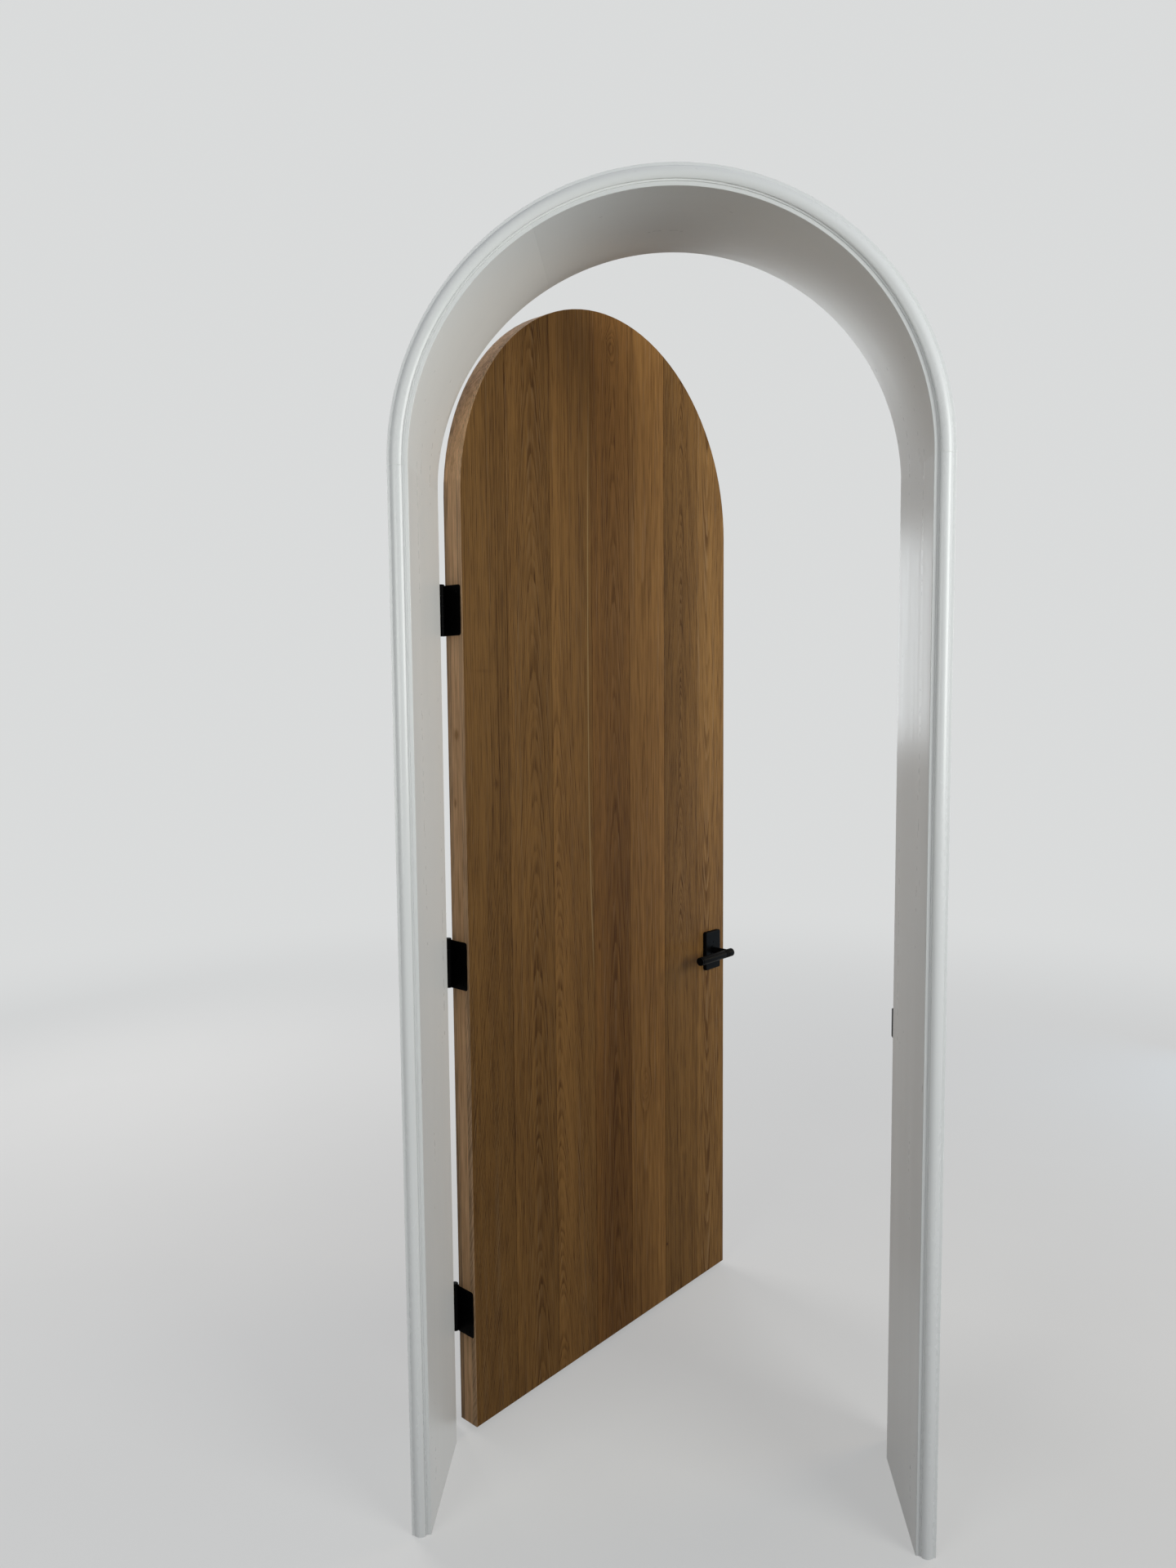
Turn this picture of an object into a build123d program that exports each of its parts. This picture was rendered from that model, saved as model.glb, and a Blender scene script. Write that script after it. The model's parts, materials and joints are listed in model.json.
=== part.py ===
from build123d import *

import os
from math import cos, radians, sin

# Axes: X to the right, Y away from the viewer through the wall, Z up.
# The origin is on the floor, at the middle of the doorway, in the plane of the near wall face.

# Leaf: two skins of upright boards on a solid core, with a round head
leaf_width = 914
spring_height = 1974
floor_gap = 13
core_thickness = 25
skin_thickness = 13
board_widths = (125, 133, 134, 132, 135, 135, 120)
board_arris = 0.5
open_angle = 52

# Lining: two legs and a round head in three segments, rebated for the leaf on the far side
leaf_gap = 3
stop_gap = 3
stop_projection = 12
stop_depth = 257
lining_thickness = 24
head_pieces = ("right", "crown", "left")
arris_radius = 1.5

# Casing: a bead with a quirk on its inner side and a flat outer edge
near_reveal = 7
far_reveal = 8
quirk_width = 3
quirk_floor = 2
bead_start = 5
bead_width = 21
bead_rise = 9
bead_crest = 8
edge_width = 5
edge_thickness = 4

# Butt hinges, let in flush with the leaf's edge and with the rebate
bottom_hinge_rise = 247
top_hinge_drop = 227
middle_hinge_lift = 11
hinge_height = 102
hinge_plate = 3.4
hinge_let_in = 46
hinge_corner = 6
knuckle_count = 5
knuckle_gap = 0.4
barrel_radius = 7
barrel_clearance = 0.5
pin_radius = 4
pin_play = 0.05
pin_offset = 11
pin_head = 3

# Countersunk wood screws
screw_radius = 2.2
screw_head_radius = 4.4
screw_length = 20
hinge_screw_rows = (19, 33)
hinge_screw_heights = (15, 39)

# Latch: a round case in the free edge, with a square spindle and a bevelled bolt
latch_height = 897
backset = 60
cross_bore_radius = 27
case_radius = 11
case_wall = 1.4
case_tail = 12
case_fit = 0.3
faceplate_width = 25
faceplate_height = 57
faceplate_thickness = 2.5
faceplate_corner = 6
faceplate_screw_height = 21
bolt_width = 11
bolt_height = 15
bolt_throw = 12
bolt_tail = 28
bolt_tip = 3
bolt_fit = 0.3
spindle_size = 8
spindle_play = 0.05
spindle_insert = 30
hub_radius = 8
hub_thickness = 8
hub_boss_radius = 6.6
hub_boss_length = 24

# Strike plate with a lip that runs out past the far casing
strike_height = 57
strike_thickness = 2.4
strike_inner = 14
strike_lip = 20
lip_radius = 6
strike_pocket_depth = 15
strike_pocket_margin = 2

# Roses and the plates that they hide
rose_width = 64
rose_height = 101
rose_thickness = 10
rose_wall = 2.5
rose_corner = 5
rose_edge = 2.5
collar_radius = 11.5
collar_height = 1.5
mount_plate_width = 56
mount_plate_height = 84
mount_plate_thickness = 4
mount_screw_across = 12
mount_screw_up = 20

# Levers: round bars on round necks
lever_projection = 60
lever_length = 129
lever_tail = 12
lever_radius = 10.5
lever_chamfer = 2.5
neck_radius = 8
neck_clearance = 0.5
neck_inset = 6
ring_depth = 0.8
ring_width = 2
ring_spacing = 5
ring_count = 3
cap_length = 4
cap_groove_width = 2
cap_groove_depth = 1.2
cap_chamfer = 0.8

# Privacy pin in the far rose, with its release hole in the near one
privacy_rise = 21
privacy_button_radius = 3
privacy_button_length = 7
privacy_pin_radius = 1.5
privacy_pin_end = 45
privacy_fit = 0.3
release_radius = 1.6

# Sizes that follow
leaf_thickness = core_thickness + 2 * skin_thickness
rebate_half = leaf_width / 2 + leaf_gap
stop_half = rebate_half - stop_projection
lining_back = rebate_half + lining_thickness
lining_depth = stop_depth + leaf_thickness + stop_gap
pin_x = leaf_gap / 2 - rebate_half
pin_y = lining_depth + pin_offset

# Hinge centres: one above the leaf's foot, one below the springing and one a little above halfway
bottom_hinge = floor_gap + bottom_hinge_rise
top_hinge = spring_height - top_hinge_drop
middle_hinge = (bottom_hinge + top_hinge) / 2 + middle_hinge_lift
hinge_centres = (bottom_hinge, middle_hinge, top_hinge)

# Leaf places: u runs from the pin axis towards the free edge, v through the thickness
hinge_edge = leaf_gap / 2
free_edge = hinge_edge + leaf_width
far_face = -pin_offset
near_face = far_face - leaf_thickness
core_near = near_face + skin_thickness
leaf_middle = (near_face + far_face) / 2
spindle_place = free_edge - backset

along = Vector(cos(radians(open_angle)), sin(radians(open_angle)), 0)
through = Vector(-along.Y, along.X, 0)
up = Vector(0, 0, 1)
screw_head_depth = screw_head_radius - screw_radius


# Planes that place the pieces


def leaf_point(u, v, height):
    """A point of the leaf as it stands open."""
    return Vector(pin_x, pin_y, height) + along * u + through * v


def leaf_plan(height):
    """Level plane in which x is u and y is v."""
    return Plane(origin=leaf_point(0, 0, height), x_dir=along, z_dir=up)


def leaf_face(v):
    """Upright plane in which x is u and y is height, facing the near side."""
    return Plane(origin=leaf_point(0, v, 0), x_dir=along, z_dir=-through)


def latch_plane():
    """Plane of the free edge at the latch: x is v, y is height, facing out of the edge."""
    return Plane(origin=leaf_point(free_edge, leaf_middle, latch_height), x_dir=through, z_dir=along)


def furniture_plane(v, outward):
    """Plane of one face of the leaf at the spindle, facing outward."""
    return Plane(origin=leaf_point(spindle_place, v, latch_height), x_dir=along, z_dir=outward)


def arch_plane(angle):
    """Plane through the arch's axis: x is the radius, y is the depth, z the way round."""
    across, rise = cos(radians(angle)), sin(radians(angle))
    return Plane(origin=(0, 0, spring_height), x_dir=(across, 0, rise), z_dir=(-rise, 0, across))


def hinge_seat(wood, towards_stop, height):
    """Exposed face of a hinge plate: x runs from the pin towards the stop."""
    origin = Vector(pin_x, pin_y, height) + wood * (leaf_gap / 2)
    return Plane(origin=origin, x_dir=towards_stop, z_dir=-wood)


def spots(plane, points):
    """Places on a plane, for screws and their holes."""
    return [plane.location * Location((x, y, 0)) for x, y in points]


frame_wood, frame_to_stop = Vector(-1, 0, 0), Vector(0, -1, 0)
frame_seats = [hinge_seat(frame_wood, frame_to_stop, height) for height in hinge_centres]
leaf_seats = [hinge_seat(along, -through, height) for height in hinge_centres]
strike_seat = Plane(
    origin=(rebate_half, pin_y + leaf_middle, latch_height), x_dir=(0, 1, 0), z_dir=(-1, 0, 0)
)

hinge_screw_points = [
    (pin_offset + row, side * rise)
    for row, rise in zip(hinge_screw_rows, hinge_screw_heights)
    for side in (-1, 1)
]
latch_screw_points = [(0, side * faceplate_screw_height) for side in (-1, 1)]
frame_hinge_spots = [spot for seat in frame_seats for spot in spots(seat, hinge_screw_points)]
leaf_hinge_spots = [spot for seat in leaf_seats for spot in spots(seat, hinge_screw_points)]
strike_spots = spots(strike_seat, latch_screw_points)
faceplate_spots = spots(latch_plane(), latch_screw_points)


# Profiles


def lining_profile():
    """Section of the lining: x is the distance from the doorway's middle, y the depth."""
    with BuildSketch() as profile:
        with BuildLine():
            Polyline(
                (stop_half, 0),
                (lining_back, 0),
                (lining_back, lining_depth),
                (rebate_half, lining_depth),
                (rebate_half, stop_depth),
                (stop_half, stop_depth),
                close=True,
            )
        make_face()
        fillet(profile.vertices().group_by(Axis.X)[0], arris_radius)
    return profile.sketch


def casing_profile(start, face, outward):
    """Section of the casing, from its inner edge, rising from a wall face."""
    bead = start + quirk_width
    edge = bead + bead_width
    end = edge + edge_width
    with BuildSketch() as profile:
        with BuildLine():
            Polyline(
                (bead, face + outward * bead_start),
                (bead, face + outward * quirk_floor),
                (start, face + outward * quirk_floor),
                (start, face),
                (end, face),
                (end, face + outward * edge_thickness),
                (edge, face + outward * edge_thickness),
            )
            ThreePointArc(
                (edge, face + outward * edge_thickness),
                (bead + bead_crest, face + outward * bead_rise),
                (bead, face + outward * bead_start),
            )
        make_face()
    return profile.sketch


def leaf_outline():
    """The leaf seen square on: straight sides and a half-round head."""
    with BuildSketch() as outline:
        with BuildLine():
            Polyline(
                (hinge_edge, spring_height),
                (hinge_edge, floor_gap),
                (free_edge, floor_gap),
                (free_edge, spring_height),
            )
            ThreePointArc(
                (free_edge, spring_height),
                ((hinge_edge + free_edge) / 2, spring_height + leaf_width / 2),
                (hinge_edge, spring_height),
            )
        make_face()
    return outline.sketch


def plate_outline(start):
    """A hinge plate from a start beside the pin to its end, which has round corners."""
    end = pin_offset + hinge_let_in
    with BuildSketch() as outline:
        with Locations(((start + end) / 2, 0)):
            Rectangle(end - start, hinge_height)
        fillet(outline.vertices().group_by(Axis.X)[-1], hinge_corner)
    return outline.sketch


def lever_profile():
    """Half section of a lever's bar: x is the radius, y the distance from its tail end."""
    ring_start = lever_tail + neck_radius + ring_spacing
    rings = [ring_start + number * ring_spacing for number in range(ring_count)]
    end = lever_tail + lever_length
    cap = end - cap_length
    groove = cap - cap_groove_width
    with BuildSketch() as profile:
        with BuildLine():
            Polyline(
                (0, 0),
                (lever_radius - lever_chamfer, 0),
                (lever_radius, lever_chamfer),
                (lever_radius, groove),
                (lever_radius - cap_groove_depth, groove),
                (lever_radius - cap_groove_depth, cap),
                (lever_radius, cap),
                (lever_radius, end - cap_chamfer),
                (lever_radius - cap_chamfer, end),
                (0, end),
                close=True,
            )
        make_face()
        with Locations(*((lever_radius, ring) for ring in rings)):
            Rectangle(2 * ring_depth, ring_width, mode=Mode.SUBTRACT)
    return profile.sketch


lining_section = lining_profile()
near_casing_section = casing_profile(stop_half + near_reveal, 0, -1)
far_casing_section = casing_profile(rebate_half + far_reveal, lining_depth, 1)
leaf_shape = leaf_outline()
arch_axis = Axis((0, 0, spring_height), (0, -1, 0))


# Cuts and repeated steps, made in the part that is being built


def keep(piece, name):
    """Labels a finished piece and writes it."""
    piece.part.label = name
    export_step(piece.part, f"parts/{name}.step")


def cut_hinge_seats(seats, screw_spots):
    """Recesses for the hinge plates, and the holes that their screws bite into."""
    for seat in seats:
        with BuildSketch(seat) as recess:
            add(plate_outline(pin_offset - hinge_plate))
        extrude(recess.sketch, amount=-hinge_plate, mode=Mode.SUBTRACT)
    cut_pilot_holes(screw_spots)


def cut_pilot_holes(screw_spots):
    """Holes in the wood, as wide and deep as the screws."""
    with Locations(*screw_spots):
        Cylinder(
            screw_radius, screw_length, align=(Align.CENTER, Align.CENTER, Align.MAX), mode=Mode.SUBTRACT
        )


def cut_latch_bores():
    """The bore through the leaf, the bore from its free edge and the faceplate's recess."""
    with Locations(furniture_plane(leaf_middle, -through)):
        Cylinder(cross_bore_radius, 2 * leaf_thickness, mode=Mode.SUBTRACT)
    with Locations(latch_plane()):
        Cylinder(
            case_radius + case_fit,
            backset,
            align=(Align.CENTER, Align.CENTER, Align.MAX),
            mode=Mode.SUBTRACT,
        )
    with BuildSketch(latch_plane()) as recess:
        RectangleRounded(faceplate_width, faceplate_height, faceplate_corner)
    extrude(recess.sketch, amount=-faceplate_thickness, mode=Mode.SUBTRACT)
    cut_pilot_holes(faceplate_spots)


def cut_countersinks(screw_spots, thickness):
    """Countersunk holes right through a plate."""
    with Locations(*screw_spots):
        CounterSinkHole(screw_radius, screw_head_radius, depth=2 * thickness, counter_sink_angle=90)


def add_screws(screw_spots, length=screw_length):
    """Countersunk screws with their heads level with the plate."""
    with Locations(*screw_spots):
        Cylinder(screw_radius, length, align=(Align.CENTER, Align.CENTER, Align.MAX))
        Cone(
            screw_radius,
            screw_head_radius,
            screw_head_depth,
            align=(Align.CENTER, Align.CENTER, Align.MAX),
        )


def cut_barrel_gaps(base, numbers):
    """Room for the other half's knuckles in one half of a hinge."""
    pitch = hinge_height / knuckle_count
    for number in numbers:
        with BuildSketch(base.offset(number * pitch - knuckle_gap / 2)) as gap:
            Circle(barrel_radius + barrel_clearance)
        extrude(gap.sketch, amount=pitch + knuckle_gap, mode=Mode.SUBTRACT)


os.makedirs("parts", exist_ok=True)


# Lining

for name, angle, way in (("hinge_leg", 180, 1), ("strike_leg", 0, -1)):
    with BuildPart() as leg:
        with BuildSketch(arch_plane(angle)):
            add(lining_section)
        extrude(amount=way * spring_height)
        if name == "hinge_leg":
            cut_hinge_seats(frame_seats, frame_hinge_spots)
        else:
            with BuildSketch(strike_seat) as recess:
                with Locations(((leaf_thickness / 2 - strike_inner) / 2, 0)):
                    Rectangle(leaf_thickness / 2 + strike_inner, strike_height)
            extrude(recess.sketch, amount=-strike_thickness, mode=Mode.SUBTRACT)
            with BuildSketch(strike_seat) as pocket:
                Rectangle(bolt_width + 2 * strike_pocket_margin, bolt_height + 2 * strike_pocket_margin)
            extrude(pocket.sketch, amount=-strike_pocket_depth, mode=Mode.SUBTRACT)
            cut_pilot_holes(strike_spots)
    keep(leg, name)

segment_angle = 180 / len(head_pieces)
for number, name in enumerate(head_pieces):
    with BuildPart() as segment:
        with BuildSketch(arch_plane(number * segment_angle)):
            add(lining_section)
        revolve(axis=arch_axis, revolution_arc=segment_angle)
    keep(segment, f"head_{name}")


# Casings on both wall faces

for side, section in (("near", near_casing_section), ("far", far_casing_section)):
    for name, angle, way in (("hinge_leg", 180, 1), ("strike_leg", 0, -1)):
        with BuildPart() as casing_leg:
            with BuildSketch(arch_plane(angle)):
                add(section)
            extrude(amount=way * spring_height)
        keep(casing_leg, f"{side}_casing_{name}")
    with BuildPart() as casing_arch:
        with BuildSketch(arch_plane(0)):
            add(section)
        revolve(axis=arch_axis, revolution_arc=180)
    keep(casing_arch, f"{side}_casing_arch")


# Leaf

with BuildPart() as core:
    with BuildSketch(leaf_face(core_near)):
        add(leaf_shape)
    extrude(amount=-core_thickness)
    cut_hinge_seats(leaf_seats, leaf_hinge_spots)
    cut_latch_bores()
keep(core, "leaf_core")

board_scale = leaf_width / sum(board_widths)
board_edges = [hinge_edge + board_scale * sum(board_widths[:count]) for count in range(len(board_widths) + 1)]
for side, face, way in (("near", near_face, -1), ("far", far_face, 1)):
    for number, (start, end) in enumerate(zip(board_edges, board_edges[1:]), 1):
        with BuildPart() as board:
            with BuildSketch(leaf_face(face)):
                add(leaf_shape)
                with Locations(((start + end) / 2, spring_height / 2)):
                    Rectangle(end - start, 3 * spring_height, mode=Mode.INTERSECT)
            extrude(amount=way * skin_thickness)
            shown_face = board.faces().sort_by(Axis((0, 0, 0), through * way))[-1]
            chamfer(shown_face.edges(), board_arris)
            cut_hinge_seats(leaf_seats, leaf_hinge_spots)
            cut_latch_bores()
        keep(board, f"{side}_board_{number}")


# Hinges

for name, height, frame_seat, leaf_seat in zip(
    ("bottom", "middle", "top"), hinge_centres, frame_seats, leaf_seats
):
    base = Plane(origin=(pin_x, pin_y, height - hinge_height / 2))
    frame_knuckles = range(0, knuckle_count, 2)
    leaf_knuckles = range(1, knuckle_count, 2)
    for half, seat, others in (("frame", frame_seat, leaf_knuckles), ("door", leaf_seat, frame_knuckles)):
        with BuildPart() as hinge_half:
            with BuildSketch(seat):
                add(plate_outline(0))
            extrude(amount=-hinge_plate)
            with BuildSketch(base):
                Circle(barrel_radius)
            extrude(amount=hinge_height)
            cut_barrel_gaps(base, others)
            with BuildSketch(base):
                Circle(pin_radius + pin_play)
            extrude(amount=hinge_height, mode=Mode.SUBTRACT)
            cut_countersinks(spots(seat, hinge_screw_points), hinge_plate)
        keep(hinge_half, f"{name}_hinge_{half}_leaf")
    with BuildPart() as pin:
        with BuildSketch(base):
            Circle(pin_radius)
        extrude(amount=hinge_height)
        with BuildSketch(base.offset(hinge_height)):
            Circle(barrel_radius)
        extrude(amount=pin_head)
        fillet(pin.faces().sort_by(Axis.Z)[-1].edges(), pin_head / 2)
    keep(pin, f"{name}_hinge_pin")

for name, screw_spots in (("hinge_frame_screws", frame_hinge_spots), ("hinge_door_screws", leaf_hinge_spots)):
    with BuildPart() as screws:
        add_screws(screw_spots)
    keep(screws, name)


# Strike plate

strike_start = pin_y + leaf_middle - strike_inner
lip_bend = lining_depth + strike_lip - lip_radius
with BuildPart() as strike:
    with BuildSketch(Plane.XY.offset(latch_height)):
        with BuildLine():
            Polyline(
                (rebate_half + strike_thickness, lip_bend),
                (rebate_half + strike_thickness, strike_start),
                (rebate_half, strike_start),
                (rebate_half, lip_bend),
            )
            CenterArc((rebate_half + lip_radius, lip_bend), lip_radius, 180, -90)
            Line(
                (rebate_half + lip_radius, lip_bend + lip_radius),
                (rebate_half + lip_radius, lip_bend + lip_radius - strike_thickness),
            )
            CenterArc((rebate_half + lip_radius, lip_bend), lip_radius - strike_thickness, 90, 90)
        make_face()
    extrude(amount=strike_height / 2, both=True)
    with BuildSketch(strike_seat):
        Rectangle(bolt_width + 2 * strike_pocket_margin, bolt_height + 2 * strike_pocket_margin)
    extrude(amount=-strike_thickness, mode=Mode.SUBTRACT)
    cut_countersinks(strike_spots, strike_thickness)
keep(strike, "strike_plate")

with BuildPart() as strike_screws:
    add_screws(strike_spots)
keep(strike_screws, "strike_screws")


# Latch

with BuildPart() as faceplate:
    with BuildSketch(latch_plane()):
        RectangleRounded(faceplate_width, faceplate_height, faceplate_corner)
        Rectangle(bolt_width + 2 * bolt_fit, bolt_height + 2 * bolt_fit, mode=Mode.SUBTRACT)
    extrude(amount=-faceplate_thickness)
    cut_countersinks(faceplate_spots, faceplate_thickness)
keep(faceplate, "latch_faceplate")

with BuildPart() as faceplate_screws:
    add_screws(faceplate_spots)
keep(faceplate_screws, "latch_screws")

case_length = backset + case_tail - faceplate_thickness
with BuildPart() as case:
    with BuildSketch(latch_plane().offset(-faceplate_thickness)):
        Circle(case_radius)
    extrude(amount=-case_length)
    with BuildSketch(latch_plane().offset(-faceplate_thickness)):
        Circle(case_radius - case_wall)
    extrude(amount=case_wall - case_length, mode=Mode.SUBTRACT)
    with Locations(furniture_plane(leaf_middle, -through)):
        Cylinder(hub_boss_radius + case_fit, 2 * case_radius, mode=Mode.SUBTRACT)
keep(case, "latch_case")

with BuildPart() as bolt:
    with BuildSketch(leaf_plan(latch_height)):
        with BuildLine():
            Polyline(
                (free_edge - bolt_tail, leaf_middle - bolt_width / 2),
                (free_edge, leaf_middle - bolt_width / 2),
                (free_edge + bolt_throw, leaf_middle + bolt_width / 2 - bolt_tip),
                (free_edge + bolt_throw, leaf_middle + bolt_width / 2),
                (free_edge - bolt_tail, leaf_middle + bolt_width / 2),
                close=True,
            )
        make_face()
    extrude(amount=bolt_height / 2, both=True)
keep(bolt, "latch_bolt")

with BuildPart() as hub:
    with BuildSketch(furniture_plane(leaf_middle, -through)):
        Circle(hub_radius)
    extrude(amount=hub_thickness / 2, both=True)
    with BuildSketch(furniture_plane(leaf_middle, -through)):
        Circle(hub_boss_radius)
    extrude(amount=hub_boss_length / 2, both=True)
    with BuildSketch(furniture_plane(leaf_middle, -through)):
        Rectangle(spindle_size + 2 * spindle_play, spindle_size + 2 * spindle_play)
    extrude(amount=hub_boss_length, both=True, mode=Mode.SUBTRACT)
keep(hub, "latch_hub")

with BuildPart() as spindle:
    with BuildSketch(furniture_plane(leaf_middle, -through)):
        Rectangle(spindle_size, spindle_size)
    extrude(amount=leaf_thickness / 2 + spindle_insert, both=True)
keep(spindle, "spindle")


# Door furniture, the same on both faces but for the privacy pin

mount_screw_points = [(side * mount_screw_across, side * mount_screw_up) for side in (-1, 1)]
pin_hole = privacy_pin_radius + privacy_fit
button_hole = privacy_button_radius + privacy_fit
for side, face, outward, upward, plate_hole, rose_hole in (
    ("near", near_face, -through, 1, pin_hole, release_radius),
    ("far", far_face, through, -1, button_hole, button_hole),
):
    seat = furniture_plane(face, outward)
    privacy_point = (0, upward * privacy_rise)
    screw_places = [(x, upward * y) for x, y in mount_screw_points]

    with BuildPart() as mount_plate:
        with BuildSketch(seat):
            RectangleRounded(mount_plate_width, mount_plate_height, rose_corner)
            Circle(neck_radius + neck_clearance, mode=Mode.SUBTRACT)
            with Locations(privacy_point):
                Circle(plate_hole, mode=Mode.SUBTRACT)
        extrude(amount=mount_plate_thickness)
        if side == "far":
            cut_countersinks(spots(seat.offset(mount_plate_thickness), screw_places), mount_plate_thickness)
        else:
            with Locations(*spots(seat, screw_places)):
                Hole(screw_radius)
    keep(mount_plate, f"{side}_mounting_plate")

    with BuildPart() as rose:
        with BuildSketch(seat):
            RectangleRounded(rose_width, rose_height, rose_corner)
        extrude(amount=rose_thickness)
        fillet(rose.faces().sort_by(Axis((0, 0, 0), outward))[-1].edges(), rose_edge)
        with BuildSketch(seat.offset(rose_thickness)):
            Circle(collar_radius)
        extrude(amount=collar_height)
        with BuildSketch(seat):
            RectangleRounded(rose_width - 2 * rose_wall, rose_height - 2 * rose_wall, rose_corner - rose_wall)
        extrude(amount=rose_thickness - rose_wall, mode=Mode.SUBTRACT)
        with BuildSketch(seat):
            Circle(neck_radius + neck_clearance)
            with Locations(privacy_point):
                Circle(rose_hole)
        extrude(amount=rose_thickness + collar_height, mode=Mode.SUBTRACT)
    keep(rose, f"{side}_rose")

    bar_start = leaf_point(spindle_place + lever_tail, face, latch_height) + outward * lever_projection
    with BuildPart() as lever:
        with BuildSketch(Plane(origin=bar_start, x_dir=outward, z_dir=along.cross(outward))):
            add(lever_profile())
        revolve(axis=Axis(bar_start, -along))
        with BuildSketch(seat.offset(-neck_inset)):
            Circle(neck_radius)
        extrude(amount=lever_projection + neck_inset)
        with BuildSketch(seat.offset(-neck_inset)):
            Rectangle(spindle_size + 2 * spindle_play, spindle_size + 2 * spindle_play)
        extrude(amount=neck_inset + spindle_insert, mode=Mode.SUBTRACT)
    keep(lever, f"{side}_lever")

far_plate_face = furniture_plane(far_face, through).offset(mount_plate_thickness)
bridge = leaf_thickness + 2 * mount_plate_thickness
with BuildPart() as mount_screws:
    add_screws(spots(far_plate_face, [(x, -y) for x, y in mount_screw_points]), bridge)
keep(mount_screws, "mounting_screws")

privacy_seat = Plane(
    origin=leaf_point(spindle_place, far_face, latch_height + privacy_rise), x_dir=along, z_dir=through
)
with BuildPart() as privacy_pin:
    with BuildSketch(privacy_seat.offset(-privacy_pin_end)):
        Circle(privacy_pin_radius)
    extrude(amount=privacy_pin_end + rose_thickness)
    with BuildSketch(privacy_seat.offset(rose_thickness - rose_wall)):
        Circle(privacy_button_radius)
    extrude(amount=rose_wall + privacy_button_length)
    fillet(privacy_pin.faces().sort_by(Axis((0, 0, 0), through))[-1].edges(), privacy_button_radius / 3)
keep(privacy_pin, "privacy_pin")
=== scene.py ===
"""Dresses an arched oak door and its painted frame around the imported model."""

import json
import logging
import math
from dataclasses import dataclass, replace
from enum import Enum
from typing import Callable, Optional, Sequence, Union

import bmesh
import bpy
import numpy as np
from mathutils import Matrix, Vector


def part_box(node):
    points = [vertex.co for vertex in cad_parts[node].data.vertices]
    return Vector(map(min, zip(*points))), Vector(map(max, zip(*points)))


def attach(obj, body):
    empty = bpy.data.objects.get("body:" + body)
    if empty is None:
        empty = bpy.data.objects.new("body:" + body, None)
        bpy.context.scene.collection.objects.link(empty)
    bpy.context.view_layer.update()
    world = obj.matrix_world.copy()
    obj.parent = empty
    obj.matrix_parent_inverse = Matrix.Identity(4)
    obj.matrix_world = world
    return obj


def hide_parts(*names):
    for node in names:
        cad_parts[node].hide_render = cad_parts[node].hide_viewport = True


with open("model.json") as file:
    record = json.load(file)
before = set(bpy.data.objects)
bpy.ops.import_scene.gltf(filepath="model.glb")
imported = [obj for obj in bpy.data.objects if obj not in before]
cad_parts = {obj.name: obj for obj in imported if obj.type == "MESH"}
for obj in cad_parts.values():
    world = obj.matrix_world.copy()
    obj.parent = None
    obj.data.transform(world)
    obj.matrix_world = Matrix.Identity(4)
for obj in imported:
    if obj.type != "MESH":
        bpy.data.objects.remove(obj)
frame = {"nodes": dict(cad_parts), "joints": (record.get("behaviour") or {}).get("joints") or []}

LOG = logging.getLogger("arched_door")
MERGE = 1e-7
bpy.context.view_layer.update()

# The row frame's directions
ACROSS, AWAY, UP = np.eye(3)

Colour = tuple[float, float, float]
Triple = tuple[float, float, float]


class Slot(Enum):
    """The record's material slots."""

    PAINT = "painted_wood"
    BLACK = "matte_black"


class Side(Enum):
    """The two faces of the door and of its wall."""

    NEAR = "near"
    FAR = "far"

    @property
    def way(self) -> int:
        """-1 for the face that looks back to the viewer, and 1 for the other."""
        return -1 if self is Side.NEAR else 1


# Places taken from the frame


class Opening:
    """The doorway: where its straight sides end and how its round head runs."""

    def __init__(self) -> None:
        """Reads the doorway's shape off the lining's strike leg."""
        low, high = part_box("strike_leg")
        self.half: float = low.x
        self.back: float = high.x
        self.depth: float = high.y
        self.spring: float = high.z

    def legs(self, side: int, out: np.ndarray, depth: np.ndarray, heights: np.ndarray) -> np.ndarray:
        """Carries a section up one side, so that a point lies at (side times out, depth, height).

        Args:
            side: -1 for the hinge side, 1 for the strike side.
            out: the section's distances from the doorway's middle, one row to a height.
            depth: the section's depths, in the same rows.
            heights: the height of each row.

        Returns:
            Places, row by row.
        """
        height = np.broadcast_to(heights[:, None], out.shape)
        return np.stack([side * out, depth, height], axis=-1)

    def head(self, out: np.ndarray, depth: np.ndarray, angles: np.ndarray) -> np.ndarray:
        """Carries a section round the head.

        A point lies at the section's distance from the arch's centre, turned by the row's angle
        from the strike side.

        Args:
            out: the section's distances from the centre, one row to an angle.
            depth: the section's depths, in the same rows.
            angles: the angle of each row, in radians.

        Returns:
            Places, row by row.
        """
        turn = angles[:, None]
        return np.stack([out * np.cos(turn), depth, self.spring + out * np.sin(turn)], axis=-1)


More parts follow.
